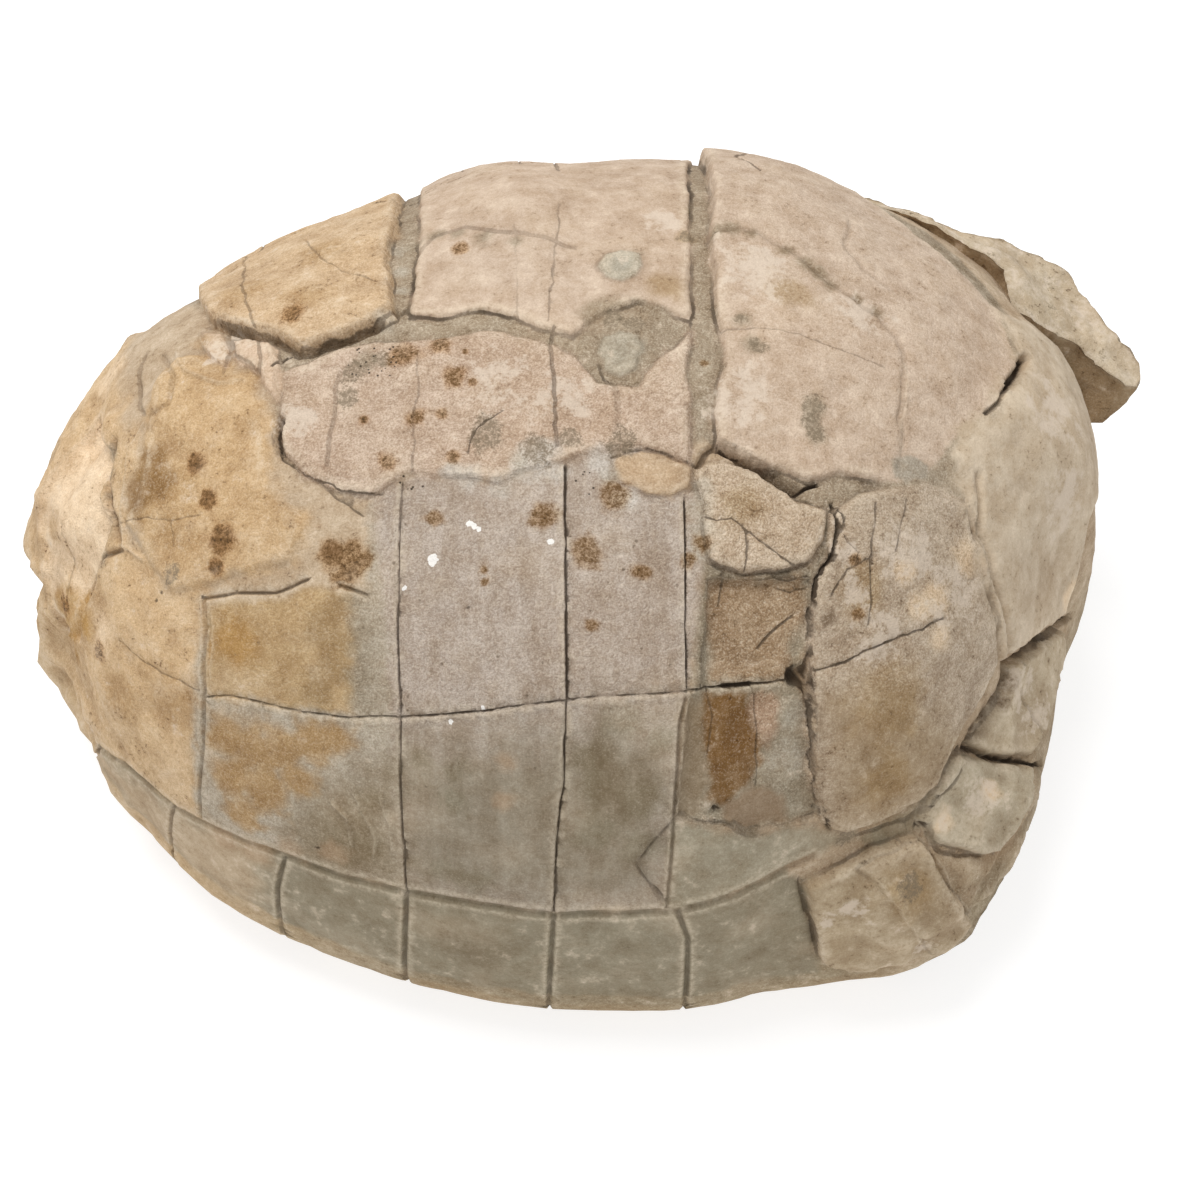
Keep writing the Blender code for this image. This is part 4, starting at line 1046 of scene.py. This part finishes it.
def upper_paint(points, chart, features):
    plates = {item["name"]: item for item in features[1]}
    patch = 0.0018 * waves(points + 0.2, 0.007) + 0.0010 * waves(points + 0.6, 0.003)
    low = smooth((0.10 - points[:, 2] + 8.0 * patch) / 0.07)[:, None]
    tone = FAR_TOP_TONE * (1.0 - low) + FAR_LOW_TONE * low
    brown = smooth(1.8 * waves(points + 0.33, 0.033) - 0.1)[:, None]
    tone += (FAR_BROWN_TONE - tone) * 0.7 * brown
    tone += (LEFT_TONE - tone) * left_share(points)
    rough = np.full(len(points), 0.6)
    crisp = np.full(len(points), 0.5)
    putty = np.zeros(len(points))
    for name, soft, coarse, grain, colour, *shape in ZONES:
        item = plate(name, traced(0.0, *shape), 1, 0, 1, 0, 0.008, 1.2) if shape else plates[name]
        gap = signed_gap(chart, points, item, soft * MM + 0.006)
        share = smooth(0.5 + (gap + patch * min(soft / 3.0, 3.0)) / (soft * MM))
        tone += (linear(*colour[0]) - tone) * share[:, None]
        rough += (coarse - rough) * share
        crisp += (grain - crisp) * share
        if name in ("putty_top", "left_under"):
            putty = np.maximum(putty, share * (1.0 if name == "putty_top" else 0.5))
        elif not shape or name == "upper_seams":
            putty *= 1.0 - share
    near = near_share(chart)
    zero = np.zeros(len(points))
    turned = points @ np.array(Euler((0.5, 0.7, 0.3)).to_matrix())
    bend = 0.45 * waves(turned + 0.65, 0.007) + 0.35 * waves(turned + 0.75, 0.0026)
    far = 1.0 - near
    rust, grey, chalk, pin = (spot_field(points, *view_spots(spots), bend) * near
                              for spots in (RUST, GREY, CHALK, PIN))
    rust += spot_field(points, *plan_spots(FAR_RUST), bend) * far
    white = spot_field(points, *view_spots(WHITE), 0.4 * bend) * near
    for strength, spots in PATCHES:
        share = strength * smooth(spot_field(points, *view_spots(spots[1:]), bend)) * near
        tone += (linear(*spots[0]) - tone) * share[:, None]
    share = 0.5 * smooth(spot_field(points, *plan_spots(FAR_PATCHES), bend)) * far
    tone += (FAR_PATCH_TONE - tone) * share[:, None]
    return {"tone": mottled(tone, points), "rough": rough, "putty": putty, "chalk": chalk, "crisp": crisp,
            "pin": pin, "marks": np.column_stack([rust, grey, white, zero])}


def lower_paint(points, chart, features):
    low = smooth(points[:, 2] / 0.03)[:, None]
    tone = BELLY_TONE * (1.0 - low) + FAR_LOW_TONE * low
    for item in features[1]:
        share = smooth(0.5 + signed_gap(chart, points, item, 0.012) / 0.008)[:, None]
        tone += (POCKET_TONE - tone) * share
    tone += (LEFT_TONE - tone) * left_share(points)
    zero = np.zeros(len(points))
    tone += (BELLY_BROWN_TONE - tone) * 0.4 * smooth(1.5 * waves(points + 0.9, 0.045))[:, None]
    return {"tone": mottled(tone, points), "rough": zero + 0.6, "putty": zero, "chalk": zero, "pin": zero,
            "crisp": zero + 0.5, "marks": np.column_stack([zero] * 4)}


# Slab
def slab_top_edge():
    rays = view_rays(SLAB_EDGE[:, :2])
    top = EYE + rays * ((SLAB_EDGE[:, 2] * MM - EYE[2]) / rays[:, 2])[:, None]
    return np.vstack(stepped(looped(top), looped(top), SLAB_SPACING))


def nearest(spots, edge):
    return np.array([np.sqrt(((edge[:, :2] - spot) ** 2).sum(axis=1)).min() for spot in spots])


def slab_cap(edge, spacing, rough):
    """Filled face over the edge, its height carried in from the edge."""
    low, high = edge[:, :2].min(axis=0), edge[:, :2].max(axis=0)
    xs, ys = np.meshgrid(np.arange(low[0], high[0], spacing), np.arange(low[1], high[1], spacing * 0.87))
    xs = xs + (np.arange(len(xs)) % 2)[:, None] * spacing * 0.5
    free = np.column_stack([xs.ravel(), ys.ravel()])
    free = free[within(free, edge[:, :2])]
    free = free[nearest(free, edge) > 0.6 * spacing]
    flat = [Vector(p) for p in np.vstack([edge[:, :2], free])]
    loop = [(i, (i + 1) % len(edge)) for i in range(len(edge))]
    result = delaunay_2d_cdt(flat, loop, [list(range(len(edge)))], 1, 1e-7)
    spots = np.array([tuple(v) for v in result[0]])
    heights = []
    for spot in spots:
        weight = 1.0 / (((edge[:, :2] - spot) ** 2).sum(axis=1) + 1e-8) ** 1.5
        heights.append((weight * edge[:, 2]).sum() / weight.sum())
    points = np.column_stack([spots, heights])
    lift = waves(points + 0.4, 0.014) + 0.7 * waves(points, 0.006) + 0.4 * waves(points + 0.2, 0.0028)
    points[:, 2] += rough * (smooth(nearest(spots, edge) / 0.004) * lift - 0.4)
    return points, result[2]


def slab_loops():
    """Loops of points from the top edge down to the underside."""
    top = slab_top_edge()
    out = unit(top[:, :2])
    loops = []
    wander = 0.0016 * np.abs(waves(top + 0.8, 0.011)) + 0.0010 * np.abs(waves(top + 0.9, 0.004))
    for row in range(SLAB_ROWS + 1):
        down = row / SLAB_ROWS
        inset = SLAB_UNDERCUT * down**1.6 + wander + 0.0012 * (1.0 - down) ** 8
        loop = top + np.column_stack([-out * inset[:, None], np.full(len(top), -SLAB_THICKNESS * down)])
        layered = waves(np.column_stack([loop[:, :2] * 0.4, loop[:, 2:3]]), 0.0034)
        rough = 0.0014 * waves(loop, 0.008) + 0.0009 * waves(loop + 0.3, 0.0035) + 0.0009 * layered
        loop[:, :2] -= out * np.abs(rough)[:, None]
        loops.append(loop)
    return loops


def build_slab():
    """Points, faces and colours of the slab that stands out at the right."""
    loops = slab_loops()
    cap, cap_faces = slab_cap(loops[0], SLAB_SPACING, SLAB_ROUGHNESS)
    base, base_faces = slab_cap(loops[-1], SLAB_SPACING * 2.0, 0.0)
    count = len(loops[0])
    points = [cap[:count]] + loops[1:-1] + [base[:count]]
    start = [i * count for i in range(len(points))]
    faces = []
    for above, below in zip(start[:-1], start[1:]):
        for i in range(count):
            after = (i + 1) % count
            faces.append((above + i, below + i, below + after, above + after))
    total = count * len(points)
    cap_index = list(range(count)) + list(range(total, total + len(cap) - count))
    total += len(cap) - count
    base_index = list(range(start[-1], start[-1] + count)) + list(range(total, total + len(base) - count))
    faces += [tuple(cap_index[i] for i in face) for face in cap_faces]
    faces += [tuple(base_index[i] for i in reversed(face)) for face in base_faces]
    points = np.vstack(points + [cap[count:], base[count:]])
    upper = np.zeros(len(points))
    upper[:count] = 0.8
    upper[count:2 * count] = 0.3
    upper[count * len(loops):count * len(loops) + len(cap) - count] = 1.0
    patch = waves(points + 0.2, 0.008)
    share = np.clip(upper + 0.35 * patch * (upper > 0.2), 0.0, 1.0)[:, None]
    # Darker brown sides: partly the broken edge's own colour, partly painted shade on faces turned from the
    # light
    tone = SLAB_TOP_TONE * share + SLAB_SIDE_BROWN_AND_SHADE_TONE * (1.0 - share)
    zero = np.zeros(len(points))
    # Patchy painted shade on the sides
    dark = (1.0 - upper) * smooth(0.2 - 1.4 * waves(points + 0.6, 0.005)) * 0.35
    tone = mottled(tone, points, 1.0) * (1.0 - dark[:, None] * SHADE)
    colours = {"tone": np.column_stack([tone, zero + 0.9]),
               "marks": np.column_stack([zero, 0.5 * upper * smooth(patch * 2.0), zero, zero]),
               "form": np.column_stack([zero, zero, zero, 0.6 * upper]),
               "extra": np.column_stack([zero, zero, zero + 0.3, zero])}
    return points, faces, colours


def make_piece(name, material, points, faces, colours):
    points = np.clip(points, CAD_BOX[0], CAD_BOX[1])
    mesh = bpy.data.meshes.new(name)
    mesh.from_pydata([tuple(p) for p in points], [], faces)
    mesh.validate()
    mesh.polygons.foreach_set("use_smooth", [True] * len(mesh.polygons))
    for label, values in colours.items():
        layer = mesh.attributes.new(label, "FLOAT_COLOR", "POINT")
        layer.data.foreach_set("color", values.astype(np.float32).ravel())
    mesh.materials.append(material)
    mesh.update()
    piece = bpy.data.objects.new(name, mesh)
    bpy.context.scene.collection.objects.link(piece)
    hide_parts("fossil_turtle_shell")
    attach(piece, "root")
    print(name, sum(len(p.vertices) - 2 for p in mesh.polygons), "triangles")


# Materials
class Nodes:
    """Short calls for building one material's node tree."""

    def __init__(self, material):
        material.use_nodes = True
        self.tree = material.node_tree
        self.tree.nodes.clear()
        self.position = self.add("ShaderNodeTexCoord", "Object")

    def add(self, kind, output=None, inputs=(), **settings):
        """A new node, its inputs filled with values or with other nodes' outputs, and one of its outputs."""
        node = self.tree.nodes.new(kind)
        for key, value in settings.items():
            setattr(node, key, value)
        for label, value in dict(inputs).items():
            if hasattr(value, "is_output"):
                self.tree.links.new(value, node.inputs[label])
            else:
                node.inputs[label].default_value = value
        return node if output is None else node.outputs[output]

    def math(self, operation, a, b=0.0):
        return self.add("ShaderNodeMath", 0, {0: a, 1: b}, operation=operation)

    def times(self, a, b):
        return self.math("MULTIPLY", a, b)

    def plus(self, a, b):
        return self.math("ADD", a, b)

    def ramp(self, value, low, high, out_low=0.0, out_high=1.0):
        inputs = {"Value": value, "From Min": low, "From Max": high, "To Min": out_low, "To Max": out_high}
        return self.add("ShaderNodeMapRange", "Result", inputs, interpolation_type="SMOOTHSTEP")

    def noise(self, scale, detail, rough, stretch=None):
        vector = self.position
        if stretch:
            vector = self.add("ShaderNodeMapping", "Vector", {"Vector": vector, "Scale": stretch})
        inputs = {"Vector": vector, "Scale": scale, "Detail": detail, "Roughness": rough}
        return self.add("ShaderNodeTexNoise", "Fac", inputs)

    def cells(self, scale):
        inputs = {"Vector": self.position, "Scale": scale}
        return self.add("ShaderNodeTexVoronoi", "Distance", inputs, feature="F1")

    def mix(self, share, a, b, blend="MIX"):
        inputs = {"Factor": share, "A": a, "B": b}
        return self.add("ShaderNodeMix", "Result", inputs, data_type="RGBA", blend_type=blend)

    def tint(self, share, colour, tint):
        """The colour multiplied by a tint, as far as the share says."""
        return self.mix(share, colour, rgb(*tint), "MULTIPLY")

    def uneven(self, value, noise, amount):
        """A field with its edge broken up by a noise."""
        return self.plus(value, self.times(self.plus(noise, -0.5), amount))

    def attribute(self, name):
        node = self.add("ShaderNodeAttribute", attribute_name=name)
        split = self.add("ShaderNodeSeparateColor", inputs={"Color": node.outputs["Color"]})
        return node.outputs["Color"], list(split.outputs) + [node.outputs["Alpha"]]


def rgb(r, g, b):
    return tuple(float(v) for v in linear(r, g, b)) + (1.0,)


def stone_material():
    material = bpy.data.materials.new("fossil_stone")
    n = Nodes(material)
    tone, tone_parts = n.attribute("tone")
    rough = tone_parts[3]
    rust, grey, white = n.attribute("marks")[1][:3]
    line, wear_and_highlight, putty, chalk = n.attribute("form")[1]
    ink, pin, crisp = n.attribute("extra")[1][:3]
    bone = n.math("SUBTRACT", 1.0, putty)

    middle = n.noise(130.0, 4.0, 0.66)
    fine = n.noise(560.0, 3.0, 0.7)
    grain = n.noise(1500.0, 2.0, 0.65)
    holes = n.cells(170.0)

    colour = n.tint(n.ramp(middle, 0.38, 0.66, 0.0, 0.8), tone, (232, 225, 216))
    colour = n.mix(n.times(n.ramp(middle, 0.44, 0.30, 0.0, 0.30), bone), colour, rgb(230, 210, 186))
    sharp = n.ramp(crisp, 0.0, 1.4, 0.25, 1.5)
    # Speckle from the same noises that raise the small bumps: partly the stone's grain, partly painted shade
    # and painted highlight of those bumps
    colour = n.tint(n.times(n.ramp(fine, 0.42, 0.62, 0.0, 0.28), sharp), colour, (206, 198, 188))
    colour = n.mix(n.times(n.ramp(fine, 0.47, 0.34, 0.0, 0.10), sharp), colour, rgb(240, 225, 204))
    colour = n.tint(n.times(n.ramp(grain, 0.45, 0.62, 0.0, 0.42), sharp), colour, (194, 184, 172))
    colour = n.mix(n.times(n.ramp(grain, 0.46, 0.34, 0.0, 0.17), sharp), colour, rgb(244, 231, 212))
    spots = n.times(n.ramp(fine, 0.60, 0.68), n.times(rough, n.ramp(middle, 0.48, 0.62)))
    colour = n.tint(n.times(spots, 0.8), colour, (160, 138, 112))

    stipple = n.plus(n.times(fine, 0.6), n.times(grain, 0.4))
    blotch = n.plus(n.times(middle, 0.75), n.times(fine, 0.25))
    pale = n.ramp(n.uneven(chalk, blotch, -5.0), 0.55, 1.25, 0.0, 0.62)
    colour = n.mix(pale, colour, rgb(210, 194, 176))
    dirty = n.times(n.ramp(n.uneven(grey, stipple, 1.6), 0.35, 0.85), n.ramp(stipple, 0.40, 0.56, 0.30, 0.80))
    colour = n.mix(dirty, colour, rgb(124, 110, 90))

    streak = n.noise(22.0, 4.0, 0.62, stretch=(7.0, 1.5, 1.4))
    colour = n.tint(n.times(n.ramp(streak, 0.42, 0.66, 0.0, 0.55), putty), colour, (226, 219, 209))
    colour = n.mix(n.times(n.ramp(streak, 0.44, 0.30, 0.0, 0.16), putty), colour, rgb(206, 192, 172))

    colour = n.tint(n.ramp(rust, 0.0, 0.9, 0.0, 0.8), colour, (224, 200, 166))
    core = n.times(n.ramp(n.uneven(rust, stipple, 2.6), 0.30, 1.1), n.ramp(stipple, 0.40, 0.56, 0.35, 0.9))
    colour = n.mix(core, colour, rgb(104, 76, 44))
    colour = n.mix(n.times(n.ramp(stipple, 0.56, 0.64), n.ramp(rust, 0.5, 1.2)), colour, rgb(52, 38, 24))

    # Lighter on worn edges, and painted highlight on crests, lips, ridges and lumps
    worn_and_lit = n.times(wear_and_highlight, n.ramp(fine, 0.65, 0.40, 0.20, 0.55))
    colour = n.mix(worn_and_lit, colour, rgb(224, 208, 184))
    # Dark cores of lines, plate feet and pits: partly dirt, partly painted shadow in gaps and holes
    cracked_dark_and_shade = n.times(n.ramp(n.uneven(line, fine, 0.5), 0.50, 0.80), ink)
    colour = n.mix(n.times(cracked_dark_and_shade, 0.92), colour, rgb(58, 45, 32))
    flecks = n.ramp(n.uneven(white, fine, 1.4), 0.55, 0.65)
    colour = n.mix(flecks, colour, rgb(238, 234, 228))
    putty_pits = n.times(n.ramp(holes, 0.13, 0.07), n.times(putty, n.ramp(middle, 0.52, 0.56)))
    colour = n.mix(n.times(putty_pits, 0.6), colour, rgb(92, 78, 60))
    pins = n.times(n.ramp(n.cells(480.0), 0.24, 0.16), n.ramp(n.uneven(pin, middle, 0.6), 0.3, 0.5))
    colour = n.mix(n.times(pins, 0.9), colour, rgb(48, 38, 28))

    height = n.times(middle, n.plus(n.times(rough, 0.60), 0.20))
    small = n.plus(n.times(fine, 0.40), n.times(grain, 0.34))
    height = n.plus(height, n.times(small, n.plus(sharp, 0.25)))
    height = n.plus(height, n.times(n.times(streak, putty), 0.30))
    height = n.plus(height, n.times(spots, -0.3))
    normal = n.add("ShaderNodeBump", "Normal", {"Strength": 1.0, "Distance": BUMP_DEPTH, "Height": height})
    surface = n.add("ShaderNodeBsdfPrincipled", "BSDF", {
        "Base Color": colour, "Roughness": n.ramp(fine, 0.3, 0.7, 0.80, 0.96), "Specular IOR Level": 0.28,
        "Normal": normal})
    n.add("ShaderNodeOutputMaterial", inputs={"Surface": surface})
    return material


def floor_material():
    material = bpy.data.materials.new("floor_paper")
    material.use_nodes = True
    shader = material.node_tree.nodes["Principled BSDF"]
    for label, value in (("Base Color", (FLOOR_TONE, FLOOR_TONE, FLOOR_TONE, 1.0)), ("Roughness", 0.95),
                         ("Specular IOR Level", 0.1), ("Emission Color", WHITE_LIGHT),
                         ("Emission Strength", FLOOR_GLOW)):
        shader.inputs[label].default_value = value
    return material


# Shell
def build_shell():
    upper = upper_features()
    lower = lower_features()
    pits = list(zip(in_view(PITS), PITS[:, 2] * MM, PITS[:, 3] * MM))
    rim = rim_points(upper)
    dense = []
    for x, y, radius in np.vstack([WHITE, RUST[RUST[:, 2] < 11]]):
        reach = radius + 3.0
        steps = np.arange(-reach, reach + 0.1, 2.4)
        grid = [(x + u, y + v) for u in steps for v in steps if u * u + v * v < reach * reach * 1.3]
        dense.append(to_chart(from_view(grid)))
    top = half_shell(1, TOP_SPACING, upper, rim, upper, pits, dense)
    under = half_shell(-1, BELLY_SPACING, lower, rim, upper, pits, [])
    rim_vertex = {int(r): i for i, r in enumerate(top["rim"]) if r >= 0}
    new = np.flatnonzero(under["rim"] < 0)
    index = np.empty(len(under["real"]), int)
    index[new] = len(top["real"]) + np.arange(len(new))
    for i in np.flatnonzero(under["rim"] >= 0):
        index[i] = rim_vertex[int(under["rim"][i])]
    faces = [tuple(face) for face in top["faces"]]
    faces += [tuple(int(index[i]) for i in reversed(face)) for face in under["faces"]]
    points = np.vstack([top["real"], under["real"][new]])
    colours = {label: np.vstack([values, under["colours"][label][new]])
               for label, values in top["colours"].items()}
    return points, faces, colours


stone = stone_material()
make_piece("fossil_shell", stone, *build_shell())
make_piece("fossil_slab", stone, *build_slab())

# Floor, light and camera
floor_mesh = bpy.data.meshes.new("floor")
corners = [(x * FLOOR_REACH, y * FLOOR_REACH, 0) for x, y in ((-1, -1), (1, -1), (1, 1), (-1, 1))]
floor_mesh.from_pydata(corners, [], [(0, 1, 2, 3)])
floor = bpy.data.objects.new("floor", floor_mesh)
floor.data.materials.append(floor_material())
bpy.context.scene.collection.objects.link(floor)


def placed(location, aim):
    """Transform that puts something at a place and turns it to look along a direction."""
    return Matrix.Translation(location) @ aim.to_track_quat("-Z", "Y").to_matrix().to_4x4()


def area_light(name, location, target, size, power):
    data = bpy.data.lights.new(name, "AREA")
    data.shape = "DISK"
    data.size = size
    data.energy = power
    light = bpy.data.objects.new(name, data)
    light.matrix_world = placed(location, Vector(target) - Vector(location))
    bpy.context.scene.collection.objects.link(light)


for light_values in LIGHTS:
    area_light(*light_values)

world = bpy.data.worlds.new("studio")
world.use_nodes = True
world.node_tree.nodes["Background"].inputs["Color"].default_value = WHITE_LIGHT
world.node_tree.nodes["Background"].inputs["Strength"].default_value = WORLD_STRENGTH
bpy.context.scene.world = world

camera_data = bpy.data.cameras.new("camera")
camera_data.lens = LENS
camera_data.sensor_width = SENSOR_WIDTH
camera = bpy.data.objects.new("camera", camera_data)
look = view_rays([(IMAGE_MIDDLE, IMAGE_MIDDLE)])[0]
camera.matrix_world = placed(Vector(EYE), Vector(look))
bpy.context.scene.collection.objects.link(camera)
bpy.context.scene.camera = camera
bpy.context.scene.view_settings.view_transform = "Standard"
